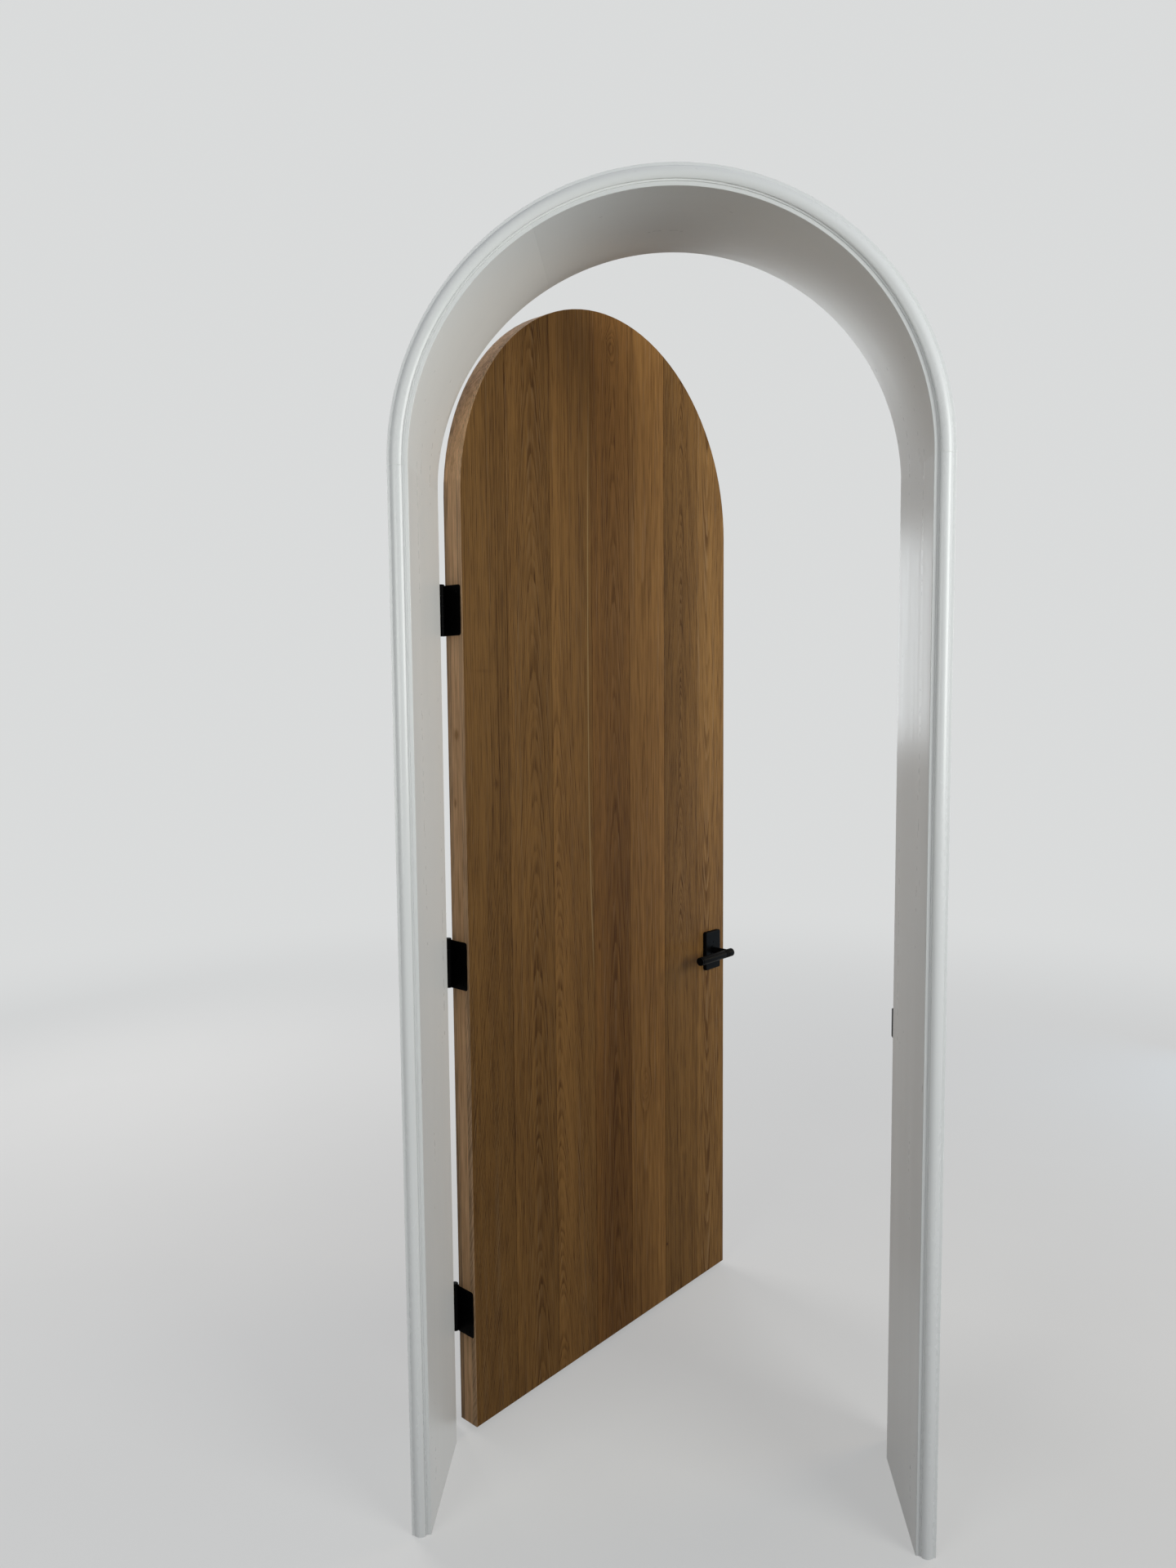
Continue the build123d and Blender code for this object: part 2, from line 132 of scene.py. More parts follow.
class Leaf:
    """The leaf as it stands open, with places along it, through it and up it."""

    def __init__(self, joints: Sequence[dict]) -> None:
        """Finds where the leaf hangs, which way it lies and how large its core is.

        Args:
            joints: the model's joints, one of which swings the leaf.
        """
        swing = next(joint for joint in joints if joint["name"] == "leaf_swing")
        self.pin = np.array([*swing["pos_m"][:2], 0.0])
        self.angle: float = -math.radians(swing["range_deg"][0])
        self.along = np.array([math.cos(self.angle), math.sin(self.angle), 0.0])
        self.through = np.array([-self.along[1], self.along[0], 0.0])
        low, high = self.box("leaf_core")
        self.half: float = (high[0] - low[0]) / 2
        self.middle: float = (high[0] + low[0]) / 2
        self.spring: float = high[2] - self.half

    def inset(self, along: "Signal", height: "Signal") -> "Signal":
        """How far a place lies inside the leaf's outline, with its straight sides and round head."""
        side, above = along - self.middle, (height - self.spring).at_least(0.0)
        return self.half - (side * side + above * above).root()

    def point(self, along: float, through: float, height: float) -> np.ndarray:
        """A place on the leaf in the row frame."""
        return self.pin + along * self.along + through * self.through + height * UP

    def box(self, node: str) -> tuple[np.ndarray, np.ndarray]:
        """Lowest and highest corner of a CAD node, measured along, through and up the leaf.

        Args:
            node: the CAD node's name.

        Returns:
            Two arrays of three numbers.
        """
        mesh = frame["nodes"][node].data
        points = np.empty(len(mesh.vertices) * 3, np.float32)
        mesh.vertices.foreach_get("co", points)
        points = points.reshape(-1, 3).astype(float) - self.pin
        placed = np.stack([points @ self.along, points @ self.through, points[:, 2]], axis=1)
        return placed.min(axis=0), placed.max(axis=0)


# Shader building


def scaled(parts: Triple, factor: float) -> Triple:
    """Three numbers, each times a factor, as a colour made lighter or darker."""
    return tuple(factor * part for part in parts)


@dataclass(frozen=True)
class Layer:
    """A layer of noise: its lumps to a metre each way, its own seed and how many finer layers it has."""

    scale: Triple
    seed: float
    detail: float = 1.0


def operation(name: str, flipped: bool = False) -> Callable[..., "Signal"]:
    """Makes a method of Signal that adds one Math node.

    Args:
        name: the node's operation.
        flipped: whether the signal is the node's last value and not its first.

    Returns:
        The method, which takes the operation's other values.
    """

    def apply(self: "Signal", *others: "Number") -> "Signal":
        """The operation's result."""
        values = (*others, self) if flipped else (self, *others)
        return self.graph.math(name, *values)

    return apply


class Signal:
    """A number that varies over a surface. Arithmetic on it adds Math nodes."""

    def __init__(self, graph: "Graph", socket: bpy.types.NodeSocket) -> None:
        """Keeps the socket that carries the number, and the nodes that it belongs to."""
        self.graph = graph
        self.socket = socket

    __add__ = __radd__ = operation("ADD")
    __sub__ = operation("SUBTRACT")
    __rsub__ = operation("SUBTRACT", flipped=True)
    __mul__ = __rmul__ = operation("MULTIPLY")
    __truediv__ = operation("DIVIDE")
    root = operation("SQRT")
    fraction = operation("FRACT")
    floor = operation("FLOOR")
    size = operation("ABSOLUTE")
    at_least = operation("MAXIMUM")
    at_most = operation("MINIMUM")
    angle_over = operation("ARCTAN2")

    def rise(self, start: float, end: float) -> "Signal":
        """A smooth step up.

        Args:
            start: the value up to which the step is 0.
            end: the value from which it is 1.

        Returns:
            The step, from 0 to 1.
        """
        ramp = self.graph.node(
            "ShaderNodeMapRange",
            {"interpolation_type": "SMOOTHSTEP"},
            {"Value": self, "From Min": start, "From Max": end},
        )
        return Signal(self.graph, ramp.outputs["Result"])

    def fall(self, start: float, end: float) -> "Signal":
        """A smooth step from 1 at start to 0 at end."""
        return 1.0 - self.rise(start, end)

    def hill(self, centre: float, half_width: float) -> "Signal":
        """A bell: e to the power of minus the squared distance from centre over half_width."""
        distance = (self - centre) / half_width
        return self.graph.math("EXPONENT", distance * distance * -1.0)


Number = Union[Signal, float]


class Graph:
    """The nodes of one material, or of the world."""

    shifts: Triple = (1.7, 2.3, 3.1)

    def __init__(self, owner: Union[bpy.types.Material, bpy.types.World]) -> None:
        """Starts with no nodes.

        Args:
            owner: the material or the world that the nodes belong to.
        """
        self.owner = owner
        owner.use_nodes = True
        self.tree = owner.node_tree
        self.tree.nodes.clear()

    def node(
        self, kind: str, settings: Optional[dict] = None, inputs: Optional[dict] = None
    ) -> bpy.types.Node:
        """Adds a node.

        Args:
            kind: Blender's name for the node's type.
            settings: the node's own options, which are set first.
            inputs: the value or link of each socket, by name or by number.

        Returns:
            The node.
        """
        made = self.tree.nodes.new(kind)
        for key, value in (settings or {}).items():
            setattr(made, key, value)
        for key, value in (inputs or {}).items():
            self.feed(made.inputs[key], value)
        return made

    def feed(self, socket: bpy.types.NodeSocket, value: object) -> None:
        """Links a socket, or gives it a plain value.

        Args:
            socket: the socket.
            value: a signal or a socket to link it to, or else its number, colour or place.
        """
        if isinstance(value, Signal):
            self.tree.links.new(value.socket, socket)
        elif isinstance(value, bpy.types.NodeSocket):
            self.tree.links.new(value, socket)
        elif isinstance(value, tuple) and len(value) == 3 and socket.type == "RGBA":
            socket.default_value = (*value, 1.0)
        else:
            socket.default_value = value

    def math(self, name: str, *values: Number) -> Signal:
        """One Math node with the named operation on these values, in order."""
        made = self.node("ShaderNodeMath", {"operation": name}, dict(enumerate(values)))
        return Signal(self, made.outputs[0])

    def place(self) -> bpy.types.NodeSocket:
        """The place on the object in the row frame, in metres."""
        return self.node("ShaderNodeTexCoord").outputs["Object"]

    def split(self, place: bpy.types.NodeSocket) -> tuple[Signal, Signal, Signal]:
        """The three numbers of a place."""
        parts = self.node("ShaderNodeSeparateXYZ", inputs={0: place})
        return tuple(Signal(self, parts.outputs[axis]) for axis in range(3))

    def join(self, x: Number, y: Number, z: Number) -> bpy.types.NodeSocket:
        """A place from three numbers."""
        return self.node("ShaderNodeCombineXYZ", inputs={0: x, 1: y, 2: z}).outputs[0]

    def noise(self, place: bpy.types.NodeSocket, layer: Layer, seed: float = 0.0) -> Signal:
        """Soft noise about 0, from -0.5 to 0.5.

        Args:
            place: where on the surface.
            layer: the noise's scale, finer layers and own seed.
            seed: is added to the layer's seed, and moves the pattern elsewhere.

        Returns:
            The noise.
        """
        shift = scaled(self.shifts, seed + layer.seed)
        spread = self.node(
            "ShaderNodeMapping", inputs={"Vector": place, "Location": shift, "Scale": layer.scale}
        )
        made = self.node(
            "ShaderNodeTexNoise", inputs={"Vector": spread.outputs[0], "Scale": 1.0, "Detail": layer.detail}
        )
        return Signal(self, made.outputs[0]) - 0.5

    def line_noise(self, value: Signal) -> Signal:
        """Noise from 0 to 1 along a single number."""
        made = self.node("ShaderNodeTexNoise", {"noise_dimensions": "1D"}, {"W": value, "Scale": 1.0})
        return Signal(self, made.outputs[0])

    def chance(self, value: Signal) -> Signal:
        """A random number from 0 to 1 that stays the same for the same value."""
        made = self.node("ShaderNodeTexWhiteNoise", {"noise_dimensions": "1D"}, {"W": value})
        return Signal(self, made.outputs["Value"])

    def blend(self, first: object, second: object, share: Number) -> bpy.types.NodeSocket:
        """Mixes two colours.

        Args:
            first: the colour where share is 0.
            second: the colour where share is 1.
            share: how much of the second colour there is.

        Returns:
            The mixed colour.
        """
        made = self.node(
            "ShaderNodeMix", {"data_type": "RGBA", "clamp_factor": True}, {0: share, 6: first, 7: second}
        )
        return made.outputs[2]

    def bump(self, height: Signal, depth: float) -> bpy.types.NodeSocket:
        """A normal that follows a relief, in which a height of 1 stands up by depth metres."""
        inputs = {"Height": height, "Distance": depth, "Strength": 1.0}
        return self.node("ShaderNodeBump", inputs=inputs).outputs[0]

    def in_sight(self) -> Signal:
        """Tells apart what the camera sees and what only lights other places.

        Returns:
            1 where the camera sees a place straight, in gloss or through glass, and else 0.
        """
        path = self.node("ShaderNodeLightPath")
        camera, gloss, glass = (
            Signal(self, path.outputs[f"Is {ray} Ray"]) for ray in ("Camera", "Glossy", "Transmission")
        )
        return camera.at_least(gloss).at_least(glass)

    def mix(self, share: Signal, first: bpy.types.Node, second: bpy.types.Node) -> bpy.types.NodeSocket:
        """A shader between two shaders, the second where share is 1."""
        inputs = {0: share, 1: first.outputs[0], 2: second.outputs[0]}
        return self.node("ShaderNodeMixShader", inputs=inputs).outputs[0]

    def finish(self, **sockets: object) -> bpy.types.Material:
        """Ends the material in a Principled shader.

        Args:
            sockets: the value or link of each socket, by its name in small letters and underscores.

        Returns:
            The material.
        """
        named = {key.replace("_", " ").title().replace("Ior", "IOR"): value for key, value in sockets.items()}
        shader = self.node("ShaderNodeBsdfPrincipled", inputs=named)
        self.node("ShaderNodeOutputMaterial", inputs={"Surface": shader.outputs[0]})
        return self.owner


# Finishes


@dataclass(frozen=True)
class Mark:
    """A knot, a burl, a stain or a patch of painted shade on a board, as an oval.

    A positive bend pushes the rings outwards, which closes them round the mark. A positive
    shade darkens the oval, and a negative one lightens it. A mark on the leaf's edge has its
    place through the leaf where the others have it along.
    """

    along: float
    height: float
    half_width: float
    half_height: float
    bend: float = 0.0
    shade: float = 0.0
    on_edge: bool = False

    def share(self, along: Signal, through: Signal, height: Signal) -> Signal:
        """How far a place lies inside the mark, from 0 to 1."""
        across = through if self.on_edge else along
        return across.hill(self.along, self.half_width) * height.hill(self.height, self.half_height)


@dataclass(frozen=True)
class Streak:
    """A pale line of sapwood that runs up a board and bows away from its middle height."""

    along: float
    middle: float
    low_bow: float
    high_bow: float
    half_width: float
    bottom: tuple[float, float]
    top: tuple[float, float]
    colour: Colour
    cover: float = 0.85

    def share(self, along: Signal, height: Signal) -> Signal:
        """How much of the streak shows at a place.

        Args:
            along: how far along the leaf the place is.
            height: how far up.

        Returns:
            A share from 0 to the streak's cover.
        """
        rise = height - self.middle
        low, high = rise.at_most(0.0), rise.at_least(0.0)
        line = along - self.low_bow * (low * low) - self.high_bow * (high * high)
        share = line.hill(self.along, self.half_width) * height.rise(*self.bottom) * height.fall(*self.top)
        return share * self.cover


@dataclass(frozen=True)
class Cut:
    """How a board was cut from a trunk with rings about a heart line.

    A ring's number at a place is its distance from the heart line plus a share of the height,
    plus noise, over the ring's width. The rings come out as pointed arches where the face is
    cut near the heart, and as straight lines beside it. A bow adds a share of the distance from
    a middle height, so that the arches point away from it and close into ovals about it. A lean
    turns the heart line aside below a height.
    """

    heart_along: float
    heart_depth: float
    ring: float = 0.0045
    taper: float = 0.05
    bow: float = 0.0
    eye: float = 0.05
    middle: float = 0.0
    lean: float = 0.0
    lean_top: float = 0.0
    lean_ease: float = 0.3
    ripple: float = 0.0064
    wander: float = 0.012
    ragged: float = 0.0019
    uneven: float = 2.6
    uneven_scale: float = 0.23
    contrast: float = 0.5
    marks: tuple[Mark, ...] = ()

    wander_noise: Layer = Layer((2.6, 2.6, 0.8), 0.0)
    ripple_noise: Layer = Layer((15.0, 15.0, 5.0), 1.0, 2.0)
    ragged_noise: Layer = Layer((190.0, 190.0, 16.0), 2.0)

    def number(self, graph: Graph, place: bpy.types.NodeSocket, seed: float) -> Signal:
        """Which ring a place lies in.

        Args:
            graph: the wood's nodes.
            place: along, through and up the leaf.
            seed: moves the noise elsewhere.

        Returns:
            The ring's number, with its fraction.
        """
        along, through, height = graph.split(place)
        layers = self.wander_noise, self.ripple_noise, self.ragged_noise
        wander, ripple, ragged = (graph.noise(place, layer, seed) for layer in layers)
        side = along - self.heart_along + wander * self.wander
        if self.lean:
            drop = (self.lean_top - height).at_least(0.0)
            side = side + drop * drop / (drop + self.lean_ease) * self.lean
        back = through - self.heart_depth
        rise = height - self.middle
        distance = (side * side + back * back).root() + rise * self.taper
        if self.bow:
            distance = distance + (rise * rise + self.eye * self.eye).root() * self.bow
        distance = distance + ripple * self.ripple + ragged * self.ragged
        for mark in self.marks:
            if mark.bend:
                distance = distance - mark.share(along, through, height) * mark.bend
        steady = distance / self.ring
        return steady + graph.line_noise(steady * self.uneven_scale + seed) * self.uneven


@dataclass(frozen=True)
class Oak:
    """Stained and lacquered oak, with pores along its early wood, fibres and pale flakes.

    Its depth of colour runs from 0 for the light colour to 1 for the dark one. Each layer of
    noise adds to it, in the share that is named after the layer.
    """

    name: str
    light: Colour
    dark: Colour
    cut: Cut
    pale: Colour = (0.3, 0.17, 0.062)
    # Painted light: a lighter colour for the leaf's edges than for its faces, standing in for the light and
    # sheen that the edges catch
    edge: Optional[Colour] = None
    streak: Optional[Streak] = None
    seed: float = 0.0

    # Ring by ring: how soon early wood starts and where it fades, and how it shows
    early_start: tuple[float, float] = (0.0, 0.14)
    early_end: tuple[float, float] = (0.2, 0.8)
    faintest: float = 0.25
    early_plain: float = 0.45
    early_pores: float = 0.75
    early_mean: float = 0.22
    depth: float = 0.42

    # Noise along, through and up the leaf, and each layer's share of the depth
    dash_noise: Layer = Layer((850.0, 850.0, 20.0), 8.0)
    dash_range: tuple[float, float] = (-0.02, 0.2)
    dash_mean: float = 0.4
    dash: float = 0.2
    fibre_noise: Layer = Layer((250.0, 250.0, 3.2), 5.0, 2.0)
    fibre: float = 0.85
    thread_noise: Layer = Layer((150.0, 150.0, 11.0), 10.0)
    thread: float = 0.85
    band_noise: Layer = Layer((85.0, 85.0, 1.1), 9.0)
    band: float = 0.6
    broad_noise: Layer = Layer((24.0, 24.0, 1.4), 6.0)
    broad: float = 0.55
    patch_noise: Layer = Layer((5.0, 5.0, 0.9), 7.0, 0.0)
    patch: float = 0.4

    # The glued joint, the pale flakes, and the painted light on the leaf's edges, which are made lighter than
    # the faces to stand in for the light and sheen that they catch
    seam: float = 0.4
    seam_width: tuple[float, float] = (0.0004, 0.0016)
    pale_range: tuple[float, float] = (0.02, 0.3)
    pale_share: float = 0.4
    pale_band: float = 0.7
    pale_dash: float = 0.1
    pale_early: float = 0.4
    edge_depth: tuple[float, float] = (0.00025, 0.0008)
    painted_lit_edge_dark: float = 0.35

    # The lacquer
    roughness: float = 0.44
    rough_early: float = 0.07
    rough_fibre: float = 0.12
    rough_patch: float = 0.08
    relief_depth: float = 0.0002
    relief_dash: float = -0.7
    relief_fibre: float = 0.4
    gloss: float = 0.05

    def material(self, leaf: Leaf, board: Optional[tuple[float, float]] = None) -> bpy.types.Material:
        """Builds the wood in the leaf's own directions.

        Args:
            leaf: gives the directions.
            board: where the board starts and ends along the leaf, which darkens its joints.

        Returns:
            The material.
        """
        graph = Graph(bpy.data.materials.new(self.name))
        turned = graph.node(
            "ShaderNodeMapping",
            {"vector_type": "TEXTURE"},
            {"Vector": graph.place(), "Location": tuple(leaf.pin), "Rotation": (0.0, 0.0, leaf.angle)},
        )
        place = turned.outputs[0]
        along, through, height = graph.split(place)
        number = self.cut.number(graph, place, self.seed)
        phase = number.fraction()
        strength = graph.chance(number.floor() + self.seed) * (1.0 - self.faintest) + self.faintest
        early = phase.rise(*self.early_start) * phase.fall(*self.early_end) * strength
        dash = graph.noise(place, self.dash_noise, self.seed).rise(*self.dash_range)
        layers = self.fibre_noise, self.thread_noise, self.band_noise, self.broad_noise, self.patch_noise
        fibre, thread, band, broad, patch = (graph.noise(place, layer, self.seed) for layer in layers)
        depth = self.cut.contrast * (early * (self.early_plain + dash * self.early_pores) - self.early_mean)
        depth = depth + self.depth + (dash - self.dash_mean) * self.dash + fibre * self.fibre
        depth = depth + thread * self.thread + band * self.band + broad * self.broad + patch * self.patch
        for mark in self.cut.marks:
            if mark.shade:
                depth = depth + mark.share(along, through, height) * mark.shade
        if board:
            seam = (along - board[0]).size().at_most((along - board[1]).size())
            depth = depth + seam.fall(*self.seam_width) * self.seam
        depth = depth.at_least(0.0)
        colour = graph.blend(self.light, self.dark, depth)
        flake = fibre + band * self.pale_band + dash * self.pale_dash - early * self.pale_early
        colour = graph.blend(colour, self.pale, flake.rise(*self.pale_range) * self.pale_share)
        if self.streak:
            colour = graph.blend(colour, self.streak.colour, self.streak.share(along, height))
        # Painted light: near the leaf's outline the wood turns to the lighter edge colour, for the light and
        # sheen that the edges catch
        if self.edge:
            painted_lit_edge = graph.blend(self.edge, scaled(self.edge, self.painted_lit_edge_dark), depth)
            colour = graph.blend(painted_lit_edge, colour, leaf.inset(along, height).rise(*self.edge_depth))
        relief = dash * self.relief_dash + fibre * self.relief_fibre
        rough = early * self.rough_early + fibre * self.rough_fibre + patch * self.rough_patch
        return graph.finish(
            base_color=colour, roughness=rough + self.roughness, normal=graph.bump(relief, self.relief_depth),
            specular_ior_level=self.gloss,
        )


@dataclass(frozen=True)
class Paint:
    """Semi-gloss enamel brushed on along the frame, up its sides and round its head.

    Its noise runs along the brush's way, out from the opening and into the wall. A frame with a
    primer has only that, flat and duller, on the side that the wall covers.
    """

    name: str
    colour: Colour
    shade: Colour
    roughness: float = 0.3
    joint_angles: tuple[float, ...] = ()
    stop_line: Optional[float] = None
    primer: Optional[Colour] = None
    seed: float = 0.0

    # Joints: a line's width and how far round the stop's line comes in. Then painted light on the head's left
    # segment past a splice: the width of its rise, where it starts to fade and how much lighter it makes the
    # paint
    joint_width: float = 0.0006
    stop_line_fade: tuple[float, float] = (0.9, 1.3)
    painted_splice_light_width: float = 0.002
    painted_splice_light_start: float = 0.1
    painted_splice_light_share: float = 0.5

    # Noise, and each layer's share of the shade, the relief and the roughness
    peel_noise: Layer = Layer((70.0, 150.0, 150.0), 3.0)
    band_noise: Layer = Layer((1.4, 55.0, 55.0), 4.0)
    wave_noise: Layer = Layer((6.0, 5.0, 5.0), 5.0, 0.0)
    tone_noise: Layer = Layer((1.1, 9.0, 9.0), 7.0)
    shade_share: float = 0.35
    shade_tone: float = 0.9
    shade_band: float = 0.15
    shade_joint: float = 0.3
    relief_depth: float = 0.00035
    relief_peel: float = 0.02
    relief_wave: float = 2.2
    relief_joint: float = 0.12
    rough_peel: float = 0.04
    rough_band: float = 0.1
    gloss: float = 0.4

    # The primer's border and its roughness
    primer_margin: tuple[float, float] = (0.002, 0.001)
    primer_rough: float = 0.45
    primer_tone: float = 0.3

    def material(self, opening: Opening) -> bpy.types.Material:
        """Builds the paint, with its brush strokes and its filled joints.

        Args:
            opening: gives the line that the brush follows.

        Returns:
            The material.
        """
        graph = Graph(bpy.data.materials.new(self.name))
        across, depth, height = graph.split(graph.place())
        above, out = (height - opening.spring).at_least(0.0), across.size()
        radius = (out * out + above * above).root()
        turn, angle = above.angle_over(across), above.angle_over(out)
        lane = graph.join(height.at_most(opening.spring) + angle * opening.half, radius, depth)
        layers = self.peel_noise, self.band_noise, self.wave_noise, self.tone_noise
        peel, band, wave, tone = (graph.noise(lane, layer, self.seed) for layer in layers)
        joint = sum(((turn - place) * radius).hill(0.0, self.joint_width) for place in self.joint_angles)
        if self.stop_line is not None:
            joint = joint + depth.hill(self.stop_line, self.joint_width) * angle.rise(*self.stop_line_fade)
        # Painted light: the head's left segment is lighter just past the splice, fading towards the leg, as
        # light falls on it there
        step = sum(
            turn.rise(place, place + self.painted_splice_light_width) * turn.fall(place + self.painted_splice_light_start, math.pi)
            for place in self.joint_angles
        )
        share = self.shade_share + tone * self.shade_tone + band * self.shade_band
        share = share + joint * self.shade_joint - step * self.painted_splice_light_share
        colour = graph.blend(self.colour, self.shade, share)
        relief = peel * self.relief_peel + wave * self.relief_wave - joint * self.relief_joint
        rough = self.roughness + peel * self.rough_peel + band * self.rough_band
        if self.primer:
            wall_side = radius.rise(*(opening.back - margin for margin in self.primer_margin))
            colour = graph.blend(colour, self.primer, wall_side)
            rough = rough + wall_side * (self.primer_rough + tone * self.primer_tone)
        return graph.finish(
            base_color=colour, roughness=rough, normal=graph.bump(relief, self.relief_depth),
            specular_ior_level=self.gloss,
        )


@dataclass(frozen=True)
class Coating:
    """Matte black powder coat on metal, with a fine tooth and worn patches."""

    name: str
    colour: Colour = (0.0016, 0.0016, 0.0018)
    worn: Colour = (0.0038, 0.0037, 0.0036)
    roughness: float = 0.42
    rough_cloud: float = 0.16
    tooth_noise: Layer = Layer((2600.0, 2600.0, 2600.0), 1.0)
    tooth_depth: float = 0.00004
    cloud_noise: Layer = Layer((45.0, 45.0, 45.0), 2.0, 3.0)
    rub_noise: Layer = Layer((240.0, 240.0, 240.0), 3.0, 2.0)
    rub_range: tuple[float, float] = (0.12, 0.4)
    worn_share: float = 0.25
    worn_cloud: float = 0.8
    worn_rub: float = 0.2
    gloss: float = 0.03

    def material(self) -> bpy.types.Material:
        """Builds the coating.

        Returns:
            The material.
        """
        graph = Graph(bpy.data.materials.new(self.name))
        place = graph.place()
        tooth, cloud = graph.noise(place, self.tooth_noise), graph.noise(place, self.cloud_noise)
        rub = graph.noise(place, self.rub_noise).rise(*self.rub_range)
        worn = self.worn_share + cloud * self.worn_cloud + rub * self.worn_rub
        return graph.finish(
            base_color=graph.blend(self.colour, self.worn, worn),
            roughness=self.roughness + cloud * self.rough_cloud,
            normal=graph.bump(tooth, self.tooth_depth), specular_ior_level=self.gloss,
        )


@dataclass(frozen=True)
class Steel:
    """Zinc-plated steel, drawn along one direction."""

    name: str
    colour: Colour = (0.5, 0.5, 0.48)
    shade: Colour = (0.28, 0.28, 0.27)
    draw_noise: Layer = Layer((900.0, 900.0, 30.0), 1.0, 2.0)
    draw_depth: float = 0.00003
    cloud_noise: Layer = Layer((70.0, 70.0, 70.0), 2.0, 3.0)
    shade_share: float = 0.4
    shade_cloud: float = 0.9
    shade_draw: float = 0.5
    roughness: float = 0.32
    rough_cloud: float = 0.15
    rough_draw: float = 0.2

    def material(self) -> bpy.types.Material:
        """Builds the plating.

        Returns:
            The material.
        """
        graph = Graph(bpy.data.materials.new(self.name))
        place = graph.place()
        draw, cloud = graph.noise(place, self.draw_noise), graph.noise(place, self.cloud_noise)
        share = self.shade_share + cloud * self.shade_cloud + draw * self.shade_draw
        return graph.finish(
            base_color=graph.blend(self.colour, self.shade, share), metallic=1.0,
            roughness=self.roughness + draw * self.rough_draw + cloud * self.rough_cloud,
            normal=graph.bump(draw, self.draw_depth),
        )


def link(name: str, data: bpy.types.ID) -> bpy.types.Object:
    """Puts a mesh, a lamp or a camera into the scene, at the origin.

    Args:
        name: the object's name.
        data: the mesh, the lamp or the camera.

    Returns:
        The object.
    """
    made = bpy.data.objects.new(name, data)
    bpy.context.scene.collection.objects.link(made)
    LOG.info("made %s", name)
    return made


def dress(node: str, material: bpy.types.Material) -> None:
    """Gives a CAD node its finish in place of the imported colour.

    Args:
        node: the CAD node's name.
        material: its finish.
    """
    slots = frame["nodes"][node].data.materials
    slots.clear()
    slots.append(material)
    LOG.info("dressed %s with %s", node, material.name)


# Surfaces


def add_piece(
    name: str,
    points: np.ndarray,
    faces: Sequence[Sequence[int]],
    material: bpy.types.Material,
    sharp: float = 32.0,
) -> bpy.types.Object:
    """Makes one object from points and faces, with its poles closed and its faces outward.

    Args:
        name: the piece's name.
        points: an array of places, one to a row.
        faces: the point numbers of each face.
        material: its finish.
        sharp: the angle in degrees past which an edge isn't shaded smooth.

    Returns:
        The object, at the origin.
    """
    mesh = bpy.data.meshes.new(name)
    mesh.from_pydata(points.tolist(), [], faces)
    closed = bmesh.new()
    closed.from_mesh(mesh)
    bmesh.ops.remove_doubles(closed, verts=closed.verts, dist=MERGE)
    bmesh.ops.recalc_face_normals(closed, faces=closed.faces)
    closed.to_mesh(mesh)
    closed.free()
    mesh.materials.append(material)
    mesh.polygons.foreach_set("use_smooth", np.ones(len(mesh.polygons), bool))
    mesh.set_sharp_from_angle(angle=math.radians(sharp))
    return link(name, mesh)


def stand_for(piece: bpy.types.Object, body: str, slot: Slot, *nodes: str) -> None:
    """Makes a piece ride on a body in place of its CAD nodes.

    Args:
        piece: the piece.
        body: the body's name.
        slot: the record's material slot; not used.
        nodes: the names of the CAD nodes.
    """
    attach(piece, body)
    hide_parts(*nodes)
    LOG.info("%s rides on %s", piece.name, body)


def tube_faces(rows: int, columns: int, capped: bool = False, first: int = 0) -> list[list[int]]:
    """Faces of a grid whose columns close into a ring, one ring to a row.

    Args:
        rows: how many rings.
        columns: how many points to a ring.
        capped: whether the first and last ring are closed with one face each.
        first: the number of the grid's first point.

    Returns:
        The point numbers of each face.
    """
    row, column = np.meshgrid(np.arange(rows - 1) * columns, np.arange(columns), indexing="ij")
    beside, after = (column + 1) % columns, row + columns
    corners = [row + column, row + beside, after + beside, after + column]
    faces = (np.stack(corners, axis=-1).reshape(-1, 4) + first).tolist()
    if capped:
        ring = np.arange(columns)
        faces.append((ring + first).tolist())
        faces.append((ring[::-1] + first + (rows - 1) * columns).tolist())
    return faces


def soften(corners: Sequence[tuple[float, float]], radii: Sequence[float], steps: int = 6) -> np.ndarray:
    """Rounds the corners of a closed outline.

    Each corner C becomes the curve (1 - s)^2 A + 2 s (1 - s) C + s^2 B, where A and B lie on the
    edges before and after it, a radius away, and s runs from 0 to 1.

    Args:
        corners: the corners in order.
        radii: how far from each corner its curve starts.
        steps: how many points a corner gets.

    Returns:
        The rounded outline, one point to a row.
    """
    corner = np.array(corners, float)
    radius = np.array(radii, float)[:, None]
    before, after = np.roll(corner, 1, axis=0) - corner, np.roll(corner, -1, axis=0) - corner
    start = corner + before / np.linalg.norm(before, axis=1, keepdims=True) * radius
    end = corner + after / np.linalg.norm(after, axis=1, keepdims=True) * radius
    s = np.linspace(0.0, 1.0, steps)[None, :, None]
    curve = (1 - s) ** 2 * start[:, None] + 2 * s * (1 - s) * corner[:, None] + s ** 2 * end[:, None]
    return curve.reshape(-1, 2)


